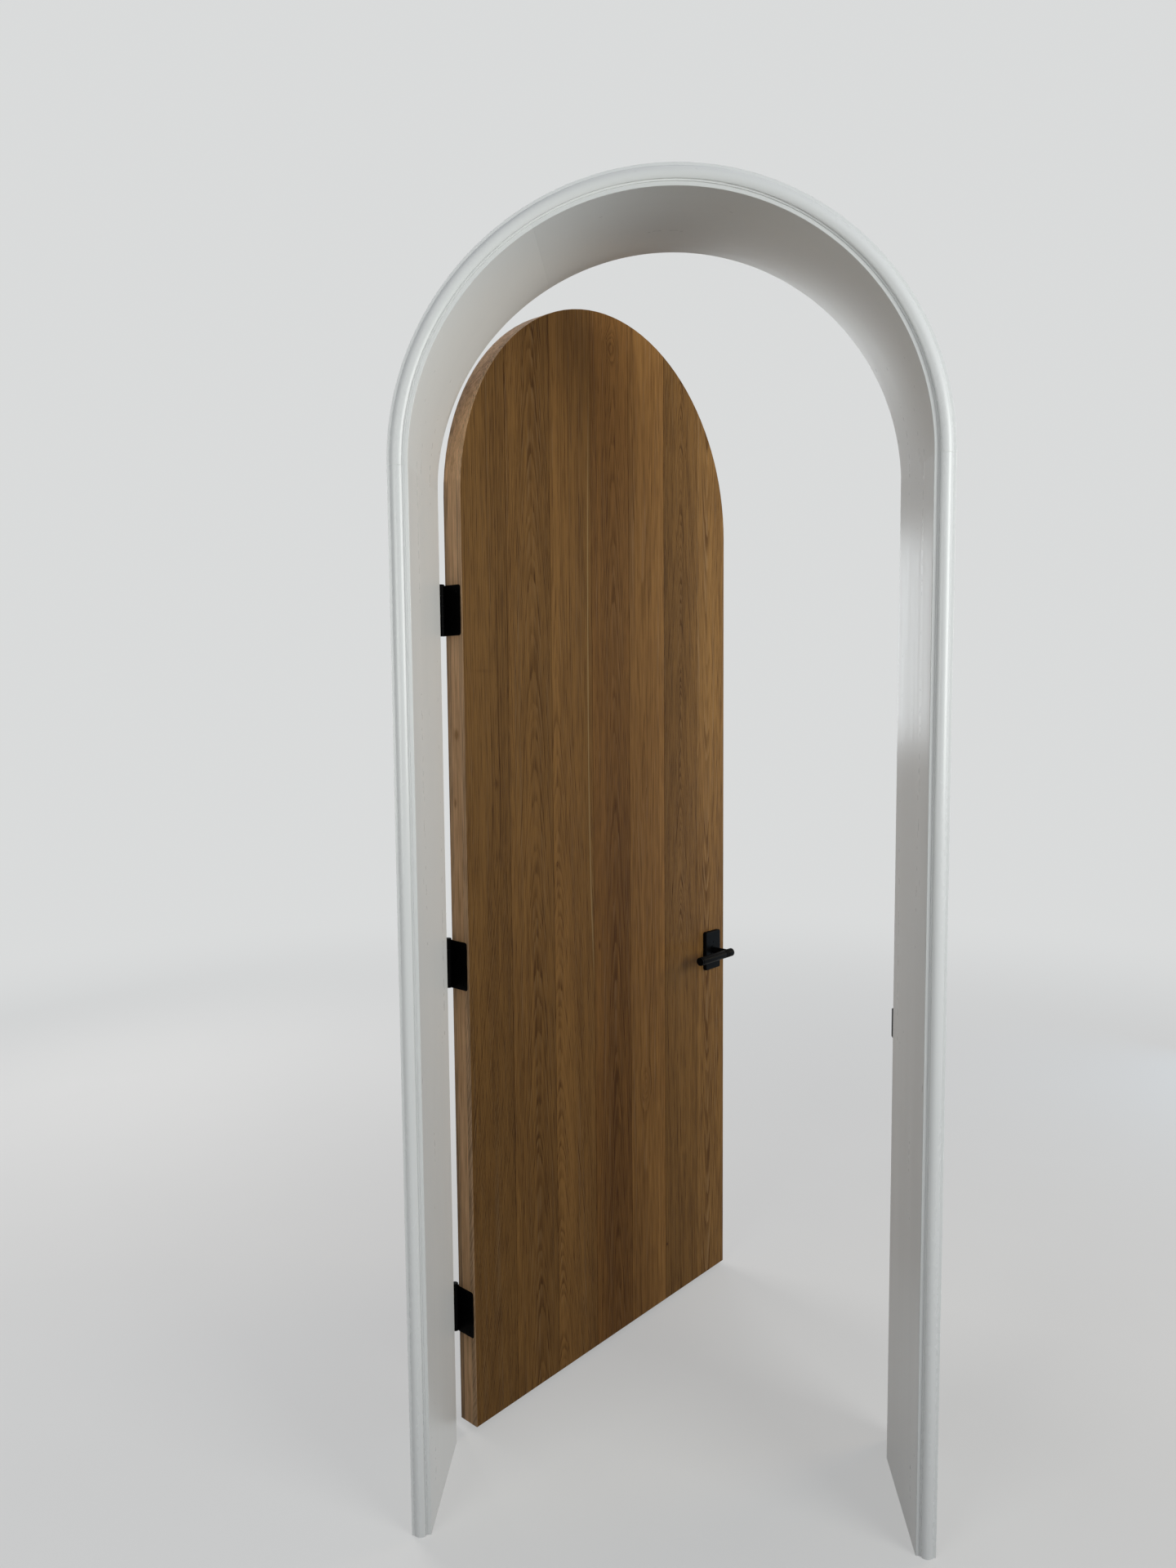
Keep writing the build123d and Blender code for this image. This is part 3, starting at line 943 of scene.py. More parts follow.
def eased_rows(section: np.ndarray, from_end: np.ndarray, ease: float) -> tuple[np.ndarray, np.ndarray]:
    """Repeats a section along a path and shrinks it by up to an ease at the path's ends.

    Each point moves inward, square to the outline, by the ease less its row's distance from the
    nearer end, and never outward.

    Args:
        section: the closed outline, one point to a row.
        from_end: each row's distance from the nearer end.
        ease: how far the outline shrinks at the very end.

    Returns:
        The first and the second number of every point, one row to a path row.
    """
    along = np.roll(section, -1, axis=0) - np.roll(section, 1, axis=0)
    inward = np.stack([-along[:, 1], along[:, 0]], axis=1)
    inward /= np.linalg.norm(inward, axis=1, keepdims=True)
    x, y = section.T
    turning = np.sum(x * np.roll(y, -1) - np.roll(x, -1) * y)
    move = np.maximum(0.0, ease - from_end)[:, None, None] * np.sign(turning)
    rows = section[None] + inward[None] * move
    return rows[..., 0], rows[..., 1]


def revolved(
    profile: np.ndarray, origin: np.ndarray, axis: np.ndarray, first: np.ndarray, spokes: int
) -> np.ndarray:
    """Turns a profile about a line.

    A point lies at origin + height times axis + radius times (cos a times first + sin a times
    the direction square to both).

    Args:
        profile: radius and height of each point, in order.
        origin: a place on the line.
        axis: the line's direction.
        first: a direction square to the line, where the angle a is 0.
        spokes: how many angles.

    Returns:
        Places, one ring to a profile point.
    """
    a = np.linspace(0.0, 2 * math.pi, spokes, endpoint=False)[None, :, None]
    spoke = np.cos(a) * first + np.sin(a) * np.cross(axis, first)
    return (origin + profile[:, 1, None, None] * axis + profile[:, 0, None, None] * spoke).reshape(-1, 3)


@dataclass(frozen=True)
class Screw:
    """A countersunk wood screw with a cross recess.

    The surface is a grid over a distance and an angle. The distance runs from the middle of
    the head out to its rim, down the cone and the shank and in to the point. In the head the
    height sinks where the place lies in either arm of the cross.
    """

    head_radius: float = 0.00435
    shank_radius: float = 0.0022
    length: float = 0.02
    arm_half_width: float = 0.0005
    arm_length: float = 0.0026
    recess: float = 0.0017
    shallower: float = 0.6
    flank: float = 0.00008
    arm_end: float = 0.0001
    sink: float = 0.00015
    point_length: float = 0.004
    rings: int = 15
    spokes: int = 64

    def shank(self) -> np.ndarray:
        """Profile of the shank, from under the cone to its point.

        Returns:
            Radius and height of each corner.
        """
        cone = self.sink + self.head_radius - self.shank_radius
        shoulder = self.point_length - self.length
        return np.array([(self.shank_radius, -cone), (self.shank_radius, shoulder), (0.0, -self.length)])

    def points(self, turn: float) -> np.ndarray:
        """Places on one screw that points down, its head's rim just under the plane of zero height.

        Args:
            turn: how far the cross is turned, in radians.

        Returns:
            Places, ring by ring.
        """
        angle = np.linspace(0.0, 2 * math.pi, self.spokes, endpoint=False)
        r, a = np.meshgrid(np.linspace(0.0, 1.0, self.rings) * self.head_radius, angle, indexing="ij")
        x, y = r * np.cos(a - turn), r * np.sin(a - turn)
        arm = np.minimum(np.abs(x), np.abs(y))
        inside = 1 / (1 + np.exp((arm - self.arm_half_width) / self.flank))
        reach = 1 / (1 + np.exp((r - self.arm_length) / self.arm_end))
        height = -self.sink - self.recess * inside * reach * (1 - self.shallower * r / self.arm_length)
        head = np.stack([r * np.cos(a), r * np.sin(a), height], axis=-1).reshape(-1, 3)
        shank = revolved(self.shank(), np.zeros(3), UP, ACROSS, self.spokes)
        return np.concatenate([head, shank])

    def fit(
        self,
        name: str,
        seats: Sequence[np.ndarray],
        material: bpy.types.Material,
        body: str,
        node: str,
        seed: int,
    ) -> None:
        """Makes all the screws of one fitting as one piece, in place of their CAD node.

        Args:
            name: the piece's name.
            seats: where each head lies, as a place and three directions, the third out of the plate.
            material: its finish.
            body: the body that the screws ride on.
            node: the CAD node.
            seed: turns each cross another way.
        """
        turns = np.random.default_rng(seed).uniform(0, math.pi / 2, len(seats))
        rows = self.rings + len(self.shank())
        points, faces = [], []
        for number, (place, turn) in enumerate(zip(seats, turns)):
            points.append(self.points(turn) @ place[:3, :3].T + place[:3, 3])
            faces += tube_faces(rows, self.spokes, first=number * rows * self.spokes)
        stand_for(add_piece(name, np.concatenate(points), faces, material), body, Slot.BLACK, node)


def seat(origin: np.ndarray, first: np.ndarray, outward: np.ndarray) -> np.ndarray:
    """Puts a place and three directions in one matrix.

    Args:
        origin: the place.
        first: the first direction.
        outward: the third direction. The second one is square to both.

    Returns:
        The matrix, with the directions and then the place in its columns.
    """
    made = np.eye(4)
    made[:3, 0] = first
    made[:3, 1] = np.cross(outward, first)
    made[:3, 2] = outward
    made[:3, 3] = origin
    return made


# Sub-assemblies


@dataclass
class Casing:
    """The moulding on one face of the wall: a quirk, a bead and a flat outer edge.

    Its section runs from its inner edge along the quirk's low floor, climbs the bead along a
    circle through the bead's start, crest and end, and runs level out to the edge.
    """

    side: Side
    start: float
    face: float
    quirk_width: float = 0.003
    quirk_floor: float = 0.002
    bead_start: float = 0.005
    bead_width: float = 0.021
    bead_rise: float = 0.009
    bead_crest: float = 0.008
    edge_width: float = 0.005
    edge_thickness: float = 0.004
    fillet: float = 0.0006
    ease: float = 0.0005
    bead_steps: int = 28
    corner_steps: int = 5
    turn_steps: int = 181

    def section(self) -> np.ndarray:
        """The closed section, from the foot of the bead round to the quirk.

        Returns:
            Distance from the inner edge and height above the wall of each point.
        """
        bead, edge = self.quirk_width, self.quirk_width + self.bead_width
        crest = (bead + self.bead_crest, self.bead_rise)
        ends = np.array([(bead, self.bead_start), crest, (edge, self.edge_thickness)])
        matrix = np.column_stack([2 * ends, np.ones(3)])
        centre_x, centre_y, rest = np.linalg.solve(matrix, (ends ** 2).sum(axis=1))
        radius = math.sqrt(rest + centre_x ** 2 + centre_y ** 2)
        x = np.linspace(bead, edge, self.bead_steps)
        curve = np.column_stack([x, centre_y + np.sqrt(radius ** 2 - (x - centre_x) ** 2)])
        outer = soften(
            [(edge + self.edge_width, self.edge_thickness), (edge + self.edge_width, 0.0), (0.0, 0.0),
             (0.0, self.quirk_floor), (bead, self.quirk_floor)],
            [self.fillet, self.fillet / 2, self.fillet / 2, self.fillet, self.fillet / 2],
            self.corner_steps,
        )
        return np.concatenate([curve, outer])

    def build(self, opening: Opening, material: bpy.types.Material) -> None:
        """Makes the two upright lengths and the arch.

        Args:
            opening: gives the path.
            material: the paint.
        """
        section = self.section()
        section = np.column_stack([self.start + section[:, 0], self.face + self.side.way * section[:, 1]])
        heights = np.array([0.0, self.ease, opening.spring - self.ease, opening.spring])
        out, depth = eased_rows(section, np.minimum(heights, opening.spring - heights), self.ease)
        faces = tube_faces(len(heights), len(section), capped=True)
        for name, side in (("hinge_leg", -1), ("strike_leg", 1)):
            points = opening.legs(side, out, depth, heights).reshape(-1, 3)
            self.place(add_piece(f"{self.side.value}_casing_{name}_moulding", points, faces, material), name)
        first = self.ease / self.start
        angles = np.concatenate([[0.0], np.linspace(first, math.pi - first, self.turn_steps), [math.pi]])
        out, depth = eased_rows(section, np.minimum(angles, math.pi - angles) * self.start, self.ease)
        points = opening.head(out, depth, angles).reshape(-1, 3)
        faces = tube_faces(len(angles), len(section), capped=True)
        self.place(add_piece(f"{self.side.value}_casing_arch_moulding", points, faces, material), "arch")

    def place(self, piece: bpy.types.Object, part: str) -> None:
        """Puts a length of the moulding in its CAD node's place."""
        stand_for(piece, "frame", Slot.PAINT, f"{self.side.value}_casing_{part}")


@dataclass
class Lining:
    """The boards that line the wall's opening, rebated on the far side.

    The legs keep their CAD shape, with the recesses for hinges and strike. The head's three
    segments are a rebated section turned about the arch's centre.
    """

    rebate: float = 0.46
    stop_depth: float = 0.257
    arris: float = 0.0015
    far_arris: float = 0.0008
    corner: float = 0.0004
    ease: float = 0.00005
    turn_steps: int = 61
    segments: tuple[str, ...] = ("right", "crown", "left")

    def section(self, opening: Opening) -> np.ndarray:
        """The closed section with its rebate.

        Args:
            opening: gives the corners at the doorway and in the wall.

        Returns:
            Distance from the arch's centre and depth of each point.
        """
        return soften(
            [(opening.half, 0.0), (opening.back, 0.0), (opening.back, opening.depth),
             (self.rebate, opening.depth), (self.rebate, self.stop_depth), (opening.half, self.stop_depth)],
            [self.arris, self.corner, self.corner, self.far_arris, self.corner, self.arris],
        )

    def build(self, opening: Opening, leg_paint: bpy.types.Material, head_paint: bpy.types.Material) -> None:
        """Makes the head's segments and paints the legs.

        Args:
            opening: gives the path.
            leg_paint: the paint on the legs.
            head_paint: the paint on the head.
        """
        for name in ("hinge_leg", "strike_leg"):
            dress(name, leg_paint)
        section = self.section(opening)
        arc = math.pi / len(self.segments)
        first = self.ease / opening.half
        turned = np.concatenate([[0.0], np.linspace(first, arc - first, self.turn_steps), [arc]])
        out, depth = eased_rows(section, np.minimum(turned, arc - turned) * opening.half, self.ease)
        faces = tube_faces(len(turned), len(section), capped=True)
        for number, name in enumerate(self.segments):
            points = opening.head(out, depth, turned + number * arc).reshape(-1, 3)
            piece = add_piece(f"head_{name}_lining", points, faces, head_paint)
            stand_for(piece, "frame", Slot.PAINT, f"head_{name}")


@dataclass
class Frame:
    """The lining and the casings on both sides of the wall."""

    opening: Opening
    near_reveal: float = 0.007
    far_reveal: float = 0.008
    primer: Colour = (0.56, 0.56, 0.53)
    paint: Paint = Paint("frame_enamel", (0.74, 0.745, 0.73), (0.66, 0.67, 0.66), primer=primer, seed=1.0)
    head_paint: Paint = replace(
        paint, name="head_enamel", joint_angles=(2 * math.pi / 3,), stop_line=0.223
    )
    casing_paint: Paint = Paint(
        "casing_enamel", (0.78, 0.785, 0.77), (0.7, 0.71, 0.7), roughness=0.27, seed=3.0
    )

    def build(self) -> None:
        """Builds the lining, then the casings."""
        lining = Lining()
        lining.build(self.opening, self.paint.material(self.opening), self.head_paint.material(self.opening))
        casing = self.casing_paint.material(self.opening)
        near = Casing(Side.NEAR, start=self.opening.half + self.near_reveal, face=0.0)
        far = Casing(Side.FAR, start=lining.rebate + self.far_reveal, face=self.opening.depth)
        for moulding in (near, far):
            moulding.build(self.opening, casing)


NEAR_BOARDS = (
    Cut(-0.085, 0.05, ring=0.0034, taper=0.004, lean=0.2, lean_top=1.35, contrast=0.75, marks=(
        Mark(0.088, 1.39, 0.006, 0.01, 0.004, 0.5), Mark(0.054, 1.625, 0.03, 0.004, 0.0, 0.15),
    )),
    Cut(0.203, -0.028, ring=0.0035, taper=0.062, contrast=0.7),
    Cut(0.274, -0.038, ring=0.0038, bow=-0.055, eye=0.25, middle=1.45, contrast=0.75, marks=(
        Mark(0.27, 1.195, 0.004, 0.006, 0.003, 0.6),
    )),
    Cut(0.471, -0.035, ring=0.0043, taper=0.045, contrast=0.65, marks=(
        Mark(0.411, 0.987, 0.0025, 0.01, 0.002, 0.8), Mark(0.471, 0.55, 0.07, 0.75, 0.0, 0.2),
        Mark(0.455, 2.36, 0.03, 0.03, 0.012, 0.1),
    )),
    Cut(0.578, -0.02, ring=0.0051, taper=-0.02, contrast=0.4, marks=(
        Mark(0.581, 0.6, 0.022, 0.04, 0.012, 0.1),
    )),
    Cut(0.728, -0.052, ring=0.0034, bow=0.062, middle=0.885, ripple=0.0104, contrast=0.9, marks=(
        Mark(0.728, 1.62, 0.02, 0.3, 0.0, 0.2), Mark(0.666, 0.158, 0.003, 0.004, 0.0, 1.0),
        Mark(0.736, 0.39, 0.02, 0.012, 0.0, -0.25),
    )),
    Cut(0.841, -0.034, ring=0.0046, taper=-0.045, contrast=0.6, marks=(
        # Board 7's broad mark is painted shade: the board made darker towards the bottom, where less light
        # falls
        Mark(0.855, 0.45, 0.1, 0.65, 0.0, 0.3),
    )),
)


@dataclass
class BoardSkins:
    """The two skins of upright boards and the core between them."""

    leaf: Leaf
    light: Colour = (0.225, 0.114, 0.034)
    dark: Colour = (0.066, 0.0275, 0.0075)
    pale: Colour = (0.3, 0.18, 0.082)

    # Near skin: each board's tone and warmth, and the board with the line of sapwood
    tones: tuple[float, ...] = (0.75, 0.88, 1.13, 1.19, 1.54, 1.01, 1.38)
    warmth: tuple[float, ...] = (1.0, 1.0, 1.0, 1.05, 1.0, 0.99, 0.96)
    streaked: int = 3
    streak: Streak = Streak(
        0.378, 1.45, 0.046, 0.0154, 0.0016, (0.85, 1.07), (1.9, 2.4), (0.42, 0.29, 0.13)
    )
    near_seed: float = 11.0

    # Far skin: the ranges that its boards are drawn from
    draw_seed: int = 5
    far_tones: tuple[float, float] = (0.9, 1.15)
    far_warmth: tuple[float, float] = (0.98, 1.05)
    far_margin: float = 0.03
    far_face: float = -0.011
    far_heart: tuple[float, float] = (0.02, 0.06)
    far_taper: tuple[float, float] = (0.03, 0.06)
    far_ring: tuple[float, float] = (0.0034, 0.005)
    far_contrast: tuple[float, float] = (0.35, 0.7)
    far_seeds: tuple[float, float] = (200.0, 13.0)

    # Core, whose edges show round the leaf. Its colours are painted light: lighter than the faces, for the
    # light and sheen that the edges catch
    painted_lit_edge_light: Colour = (0.74, 0.47, 0.265)
    painted_lit_edge_dark: Colour = (0.33, 0.185, 0.085)
    core_cut: Cut = Cut(-0.06, -0.12, ring=0.005, taper=0.01, contrast=0.35, marks=(
        Mark(-0.037, 1.495, 0.006, 0.01, 0.004, 0.8, on_edge=True),
        Mark(-0.03, 1.354, 0.0035, 0.008, 0.003, 0.8, on_edge=True),
    ))
    core_seed: float = 400.0

    def build(self) -> None:
        """Gives each board wood of its own, and the core another."""
        near = zip(NEAR_BOARDS, self.tones, self.warmth)
        for number, (cut, tone, warmth) in enumerate(near, 1):
            streak = self.streak if number == self.streaked else None
            self.dress_board(Side.NEAR, number, tone, warmth, cut, self.near_seed * number, streak)
        chance = np.random.default_rng(self.draw_seed)
        first, step = self.far_seeds
        for number in range(1, len(NEAR_BOARDS) + 1):
            tone, warmth = chance.uniform(*self.far_tones), chance.uniform(*self.far_warmth)
            cut = self.far_cut(number, chance)
            self.dress_board(Side.FAR, number, tone, warmth, cut, first + step * number)
        core = Oak("oak_core_wood", self.painted_lit_edge_light, self.painted_lit_edge_dark, self.core_cut, seed=self.core_seed)
        dress("leaf_core", core.material(self.leaf))

    def far_cut(self, number: int, chance: np.random.Generator) -> Cut:
        """Draws how a board of the far skin was cut.

        Args:
            number: the board's number, from the hinge side.
            chance: what the draws come from.

        Returns:
            The cut.
        """
        low, high = self.leaf.box(f"far_board_{number}")
        return Cut(
            float(chance.uniform(low[0] - self.far_margin, high[0] + self.far_margin)),
            float(self.far_face - chance.uniform(*self.far_heart)),
            taper=float(chance.choice([-1, 1]) * chance.uniform(*self.far_taper)),
            ring=float(chance.uniform(*self.far_ring)),
            contrast=float(chance.uniform(*self.far_contrast)),
        )

    def dress_board(
        self,
        skin: Side,
        number: int,
        tone: float,
        warmth: float,
        cut: Cut,
        seed: float,
        streak: Optional[Streak] = None,
    ) -> None:
        """Finishes one board.

        Args:
            skin: the skin that it is in.
            number: the board's number, from the hinge side.
            tone: how light it is, about 1.
            warmth: how red it is, about 1.
            cut: how it was cut.
            seed: moves its noise elsewhere.
            streak: a line of sapwood on it.
        """
        light, dark, pale = (
            (colour[0] * tone * warmth, colour[1] * tone, colour[2] * tone / warmth)
            for colour in (self.light, self.dark, self.pale)
        )
        name = f"{skin.value}_board_{number}"
        low, high = self.leaf.box(name)
        wood = Oak(f"oak_{skin.value}_{number}", light, dark, cut, pale, self.painted_lit_edge_light, streak, seed)
        dress(name, wood.material(self.leaf, (low[0], high[0])))


@dataclass
class Hinges:
    """Three butt hinges, let in flush, each with four screws to a plate."""

    names: tuple[str, ...] = ("bottom", "middle", "top")
    rows: tuple[float, float] = (0.019, 0.033)
    rises: tuple[float, float] = (0.015, 0.039)
    gap: float = 0.0015
    offset: float = 0.011

    def build(self, leaf: Leaf, black: bpy.types.Material, screw: Screw) -> None:
        """Coats the plates, knuckles and pins, and makes the screws.

        Args:
            leaf: gives the leaf's directions.
            black: the coating.
            screw: the kind of screw.
        """
        frame_seats, leaf_seats = [], []
        for name in self.names:
            for part in ("frame_leaf", "door_leaf", "pin"):
                dress(f"{name}_hinge_{part}", black)
            low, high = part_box(f"{name}_hinge_frame_leaf")
            for row, rise in zip(self.rows, self.rises):
                for side in (-1, 1):
                    pin = leaf.pin + ((low.z + high.z) / 2 + side * rise) * UP
                    reach = self.offset + row
                    on_frame = pin - ACROSS * self.gap - AWAY * reach
                    on_leaf = pin + leaf.along * self.gap - leaf.through * reach
                    frame_seats.append(seat(on_frame, -AWAY, ACROSS))
                    leaf_seats.append(seat(on_leaf, UP, -leaf.along))
        screw.fit("frame_hinge_screws", frame_seats, black, "frame", "hinge_frame_screws", seed=1)
        screw.fit("leaf_hinge_screws", leaf_seats, black, "leaf", "hinge_door_screws", seed=2)


@dataclass
class Latch:
    """The latch in the leaf's free edge and the strike plate in the rebate."""

    rise: float = 0.021
    rebate: float = 0.46

    def build(self, leaf: Leaf, black: bpy.types.Material, steel: bpy.types.Material, screw: Screw) -> None:
        """Finishes the latch and the strike plate, and makes their screws.

        Args:
            leaf: gives the leaf's directions.
            black: the coating of what shows.
            steel: the plating of what is inside the leaf.
            screw: the kind of screw.
        """
        for name in ("strike_plate", "latch_faceplate"):
            dress(name, black)
        for name in ("latch_case", "latch_hub", "latch_bolt", "spindle"):
            dress(name, steel)
        low, high = leaf.box("latch_faceplate")
        middle, centre = (low[1] + high[1]) / 2, (low[2] + high[2]) / 2
        strike_seats, latch_seats = [], []
        for side in (-1, 1):
            height = centre + side * self.rise
            latch_seats.append(seat(leaf.point(high[0], middle, height), UP, leaf.along))
            place = np.array([self.rebate, leaf.pin[1] + middle, height])
            strike_seats.append(seat(place, UP, -ACROSS))
        screw.fit("strike_plate_screws", strike_seats, black, "frame", "strike_screws", seed=3)
        screw.fit("latch_faceplate_screws", latch_seats, black, "leaf", "latch_screws", seed=4)


@dataclass
class Lever:
    """A round bar on a round neck.

    The bar is a profile turned about its own line: a chamfered tail past the neck, a set of
    turned rings, a plain length, a groove and an end cap.
    """

    radius: float = 0.0105
    tail: float = 0.012
    reach: float = 0.129
    chamfer: float = 0.0025
    neck_radius: float = 0.008
    neck_inset: float = 0.006
    projection: float = 0.06
    ring_depth: float = 0.0008
    ring_width: float = 0.002
    ring_spacing: float = 0.005
    rings: int = 3
    cap: float = 0.004
    groove_width: float = 0.002
    groove_depth: float = 0.0012
    cap_chamfer: float = 0.0008
    softness: float = 0.00025
    corner_steps: int = 5
    spokes: int = 96
    sharp: float = 40.0

    def profile(self) -> np.ndarray:
        """Half section of the bar, which starts and ends on the bar's own line.

        Returns:
            Radius and distance from the tail of each point.
        """
        radius, end = self.radius, self.tail + self.reach
        corners = [(0.0, 0.0), (radius - self.chamfer, 0.0), (radius, self.chamfer)]
        for number in range(self.rings):
            centre = self.tail + self.neck_radius + (number + 1) * self.ring_spacing
            for place, depth in ((-1, 0.0), (-1, self.ring_depth), (1, self.ring_depth), (1, 0.0)):
                corners.append((radius - depth, centre + place * self.ring_width / 2))
        cap, groove = end - self.cap, end - self.cap - self.groove_width
        floor = radius - self.groove_depth
        corners += [
            (radius, groove), (floor, groove), (floor, cap), (radius, cap),
            (radius, end - self.cap_chamfer), (radius - self.cap_chamfer, end), (0.0, end),
        ]
        soft = [0.0, *[self.softness] * (len(corners) - 2), 0.0]
        return soften(corners, soft, self.corner_steps)

    def neck(self) -> np.ndarray:
        """Radius and height of the neck, from inside the rose to the bar's middle."""
        foot, top = -self.neck_inset, self.projection
        return np.array([(0.0, foot), (self.neck_radius, foot), (self.neck_radius, top), (0.0, top)])

    def build(self, leaf: Leaf, spindle: float, side: Side, black: bpy.types.Material) -> None:
        """Makes one lever and puts it in its CAD node's place.

        Args:
            leaf: gives the leaf's directions.
            spindle: how far along the leaf the spindle stands.
            side: the face that it is on.
            black: the coating.
        """
        low, high = leaf.box(f"{side.value}_rose")
        height = (low[2] + high[2]) / 2
        face = high[1] if side is Side.NEAR else low[1]
        outward = leaf.through * side.way
        profile, neck = self.profile(), self.neck()
        tail = leaf.point(spindle + self.tail, face + side.way * self.projection, height)
        bar = revolved(profile, tail, -leaf.along, outward, self.spokes)
        post = revolved(neck, leaf.point(spindle, face, height), outward, leaf.along, self.spokes)
        faces = tube_faces(len(profile), self.spokes) + tube_faces(len(neck), self.spokes, first=len(bar))
        points = np.concatenate([bar, post])
        piece = add_piece(f"{side.value}_lever_bar", points, faces, black, self.sharp)
        stand_for(piece, "levers", Slot.BLACK, f"{side.value}_lever")


class Furniture:
    """Roses, levers, the plates under the roses and the privacy pin."""

    def build(self, leaf: Leaf, black: bpy.types.Material, steel: bpy.types.Material) -> None:
        """Finishes both faces' furniture.

        Args:
            leaf: gives the leaf's directions.
            black: the coating of what shows.
            steel: the plating of what is hidden.
        """
        low, high = leaf.box("spindle")
        for side in Side:
            dress(f"{side.value}_rose", black)
            dress(f"{side.value}_mounting_plate", steel)
            Lever().build(leaf, (low[0] + high[0]) / 2, side, black)
        dress("privacy_pin", black)
        dress("mounting_screws", steel)


@dataclass(frozen=True)
class Lamp:
    """A soft square lamp that faces a point, with a beam of a given spread in radians."""

    name: str
    place: Triple
    aim: Triple
    size: float
    power: float
    colour: Colour
    spread: float = math.pi

    def build(self) -> None:
        """Hangs the lamp."""
        data = bpy.data.lights.new(self.name, "AREA")
        data.shape = "SQUARE"
        data.size = self.size
        data.energy = self.power
        data.color = self.colour
        data.spread = self.spread
        lamp = link(self.name, data)
        lamp.visible_camera = False
        lamp.location = self.place
        facing = Vector(self.aim) - Vector(self.place)
        lamp.rotation_euler = facing.to_track_quat("-Z", "Y").to_euler()


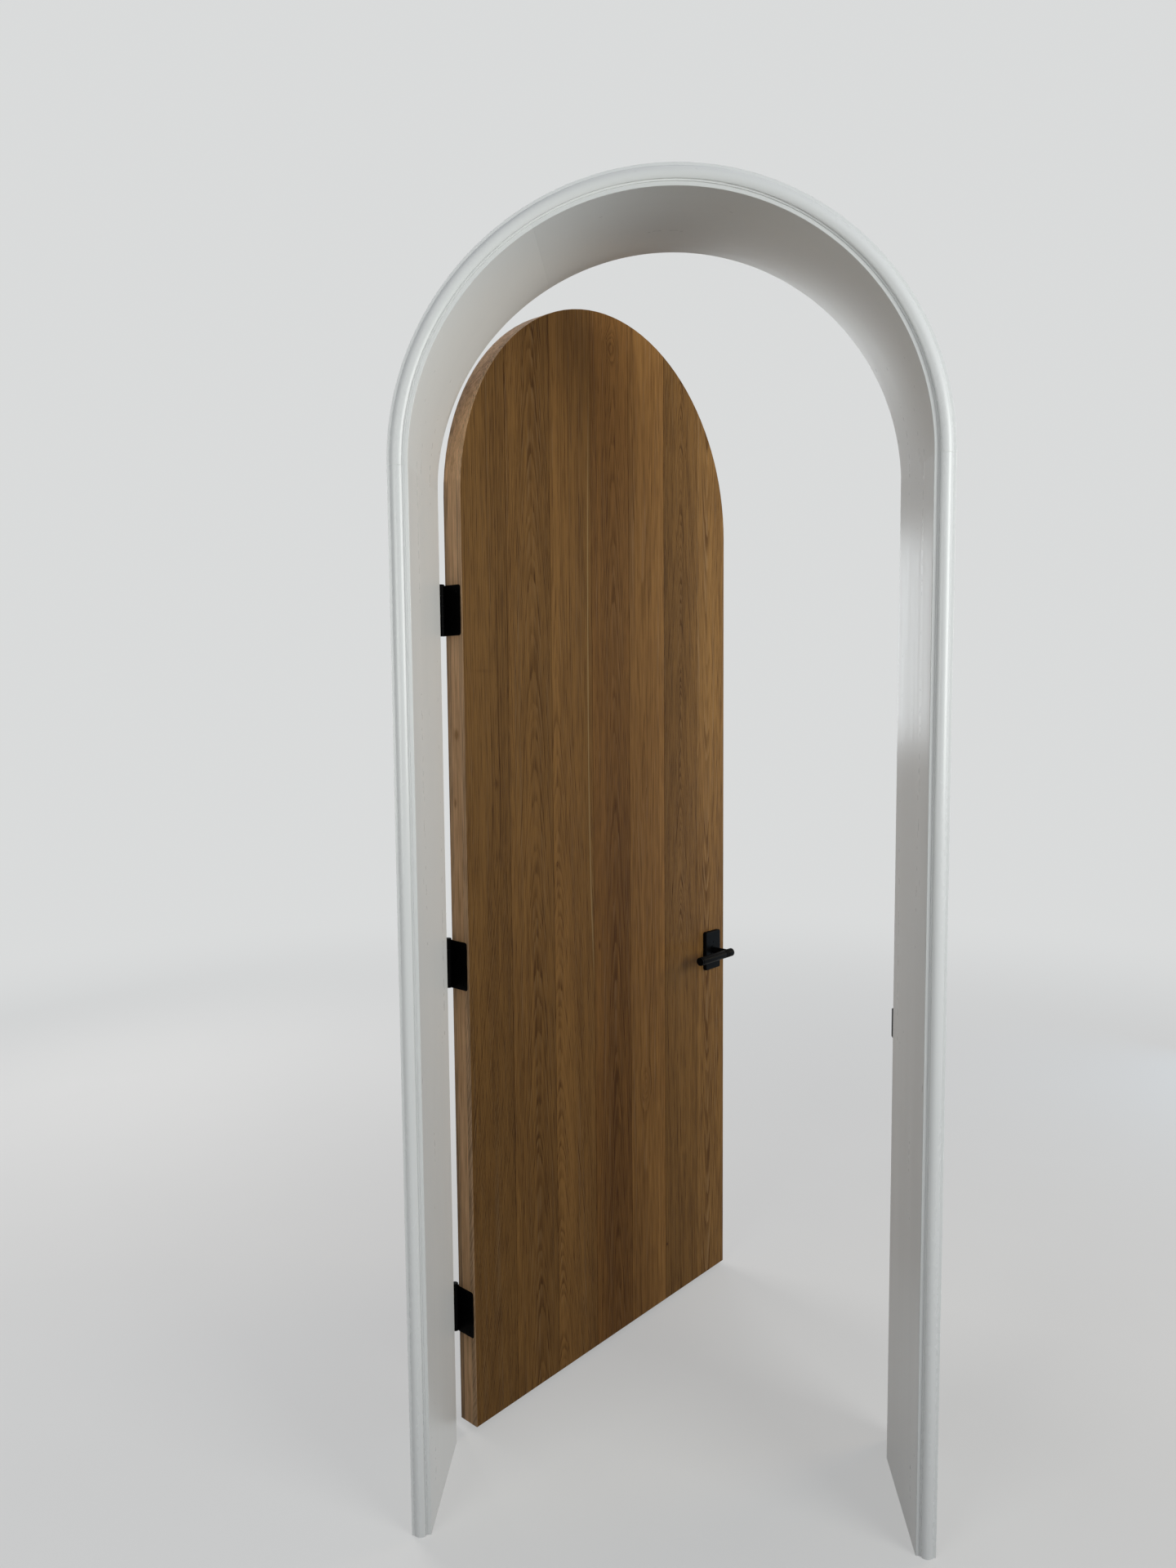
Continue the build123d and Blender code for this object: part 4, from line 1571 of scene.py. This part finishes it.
@dataclass
class Studio:
    """The floor, the sky, the lamps and the camera."""

    backdrop: Colour = (0.7, 0.71, 0.71)
    floor: Colour = (0.7, 0.69, 0.67)
    floor_bounce: Colour = (0.15, 0.145, 0.14)
    sky: Colour = (0.68, 0.72, 1.0)
    sky_strength: float = 0.17
    floor_radius: float = 30.0
    rim_points: int = 64
    floor_noise: Layer = Layer((3.0, 3.0, 3.0), 4.0, 3.0)
    floor_shade: float = 0.94
    floor_roughness: float = 0.75
    floor_glow: float = 0.5
    fade: tuple[float, float] = (0.8, 6.0)
    lamps: tuple[Lamp, ...] = (
        Lamp("near_right", (2.9, -2.1, 2.2), (-0.2, 0.3, 2.3), 2.0, 60.0, (0.97, 1.0, 0.98), 2.4),
        Lamp("near_left", (-1.9, -2.4, 1.7), (-0.3, 0.3, 1.25), 1.6, 34.0, (0.97, 1.0, 0.95)),
        Lamp("far_window", (-0.5, 4.1, 1.85), (0.2, 0.3, 1.5), 1.1, 8.5, (0.9, 0.96, 1.0)),
        Lamp("far_high", (3.2, 1.7, 2.1), (-0.1, 0.8, 1.6), 1.2, 26.0, (1.0, 0.8, 0.54)),
        Lamp("far_low", (2.6, 2.4, 0.7), (-0.4, 0.3, 0.6), 1.2, 8.0, (0.4, 0.7, 1.0)),
        Lamp("back_left", (-2.9, 3.0, 2.0), (-0.2, 0.7, 1.25), 1.8, 68.0, (1.0, 0.98, 0.95)),
        Lamp("overhead", (0.0, 0.6, 5.5), (0.0, 0.3, 0.0), 2.6, 15.0, (1.0, 0.99, 0.97)),
    )

    # Camera: place in metres, turns in radians, focal length in pixels of a 1440 by 1920 picture
    camera_place: Triple = (-0.01105, -1.9036, 1.5775)
    yaw: float = -0.0674
    pitch: float = -0.0832
    roll: float = -0.009
    focal: float = 1334.33
    picture_height: float = 1920.0
    sensor: float = 36.0

    def build(self) -> None:
        """Sets up everything round the object."""
        self.build_floor()
        self.build_sky()
        for lamp in self.lamps:
            lamp.build()
        self.build_camera()
        bpy.context.scene.view_settings.view_transform = "Standard"

    def build_floor(self) -> None:
        """A flat disc that fades into the backdrop's colour away from the object."""
        graph = Graph(bpy.data.materials.new("studio_floor"))
        across, away, _ = graph.split(graph.place())
        distance = (across * across + away * away).root()
        grain = graph.noise(graph.place(), self.floor_noise)
        colour = graph.blend(self.floor, scaled(self.floor, self.floor_shade), 0.5 + grain)
        seen = graph.in_sight()
        colour = graph.blend(self.floor_bounce, colour, seen)
        inputs = {"Base Color": colour, "Roughness": self.floor_roughness}
        ground = graph.node("ShaderNodeBsdfPrincipled", inputs=inputs)
        glow = graph.node("ShaderNodeEmission", inputs={"Color": self.backdrop, "Strength": 1.0})
        share = (distance.rise(*self.fade) * (1.0 - self.floor_glow) + self.floor_glow) * seen
        graph.node("ShaderNodeOutputMaterial", inputs={"Surface": graph.mix(share, ground, glow)})
        angle = np.linspace(0.0, 2 * math.pi, self.rim_points, endpoint=False)
        rim = np.stack([np.cos(angle), np.sin(angle), np.zeros(self.rim_points)], axis=1) * self.floor_radius
        mesh = bpy.data.meshes.new("floor")
        mesh.from_pydata(rim.tolist(), [], [list(range(self.rim_points))])
        mesh.materials.append(graph.owner)
        ground_piece = link("floor", mesh)

    def build_sky(self) -> None:
        """A soft even light, with the backdrop's colour where the camera or a gloss sees it."""
        graph = Graph(bpy.data.worlds.new("sky"))
        light = graph.node("ShaderNodeBackground", inputs={"Color": self.sky, "Strength": self.sky_strength})
        shown = graph.node("ShaderNodeBackground", inputs={"Color": self.backdrop})
        graph.node("ShaderNodeOutputWorld", inputs={"Surface": graph.mix(graph.in_sight(), light, shown)})
        bpy.context.scene.world = graph.owner

    def build_camera(self) -> None:
        """Stands the camera where the picture was taken from."""
        yaw, pitch, roll = self.yaw, self.pitch, self.roll
        level = Vector((math.cos(yaw), -math.sin(yaw), 0.0))
        ahead = Vector((math.sin(yaw), math.cos(yaw), 0.0))
        forward = ahead * math.cos(pitch) + Vector(UP) * math.sin(pitch)
        upright = level.cross(forward)
        right = level * math.cos(roll) + upright * math.sin(roll)
        top = upright * math.cos(roll) - level * math.sin(roll)
        data = bpy.data.cameras.new("camera")
        data.sensor_width = self.sensor
        data.lens = self.focal / self.picture_height * self.sensor
        camera = link("camera", data)
        turned = Matrix((right, top, -forward)).transposed()
        camera.matrix_world = Matrix.Translation(self.camera_place) @ turned.to_4x4()
        bpy.context.scene.camera = camera


def main() -> None:
    """Builds the object's finishes and pieces, then the studio round it."""
    logging.basicConfig(level=logging.INFO)
    opening = Opening()
    leaf = Leaf(frame["joints"])
    Frame(opening).build()
    BoardSkins(leaf).build()
    black = Coating("powder_coat").material()
    steel = Steel("zinc_plate").material()
    screw = Screw()
    Hinges().build(leaf, black, screw)
    Latch().build(leaf, black, steel, screw)
    Furniture().build(leaf, black, steel)
    Studio().build()


if __name__ == "__main__":
    main()
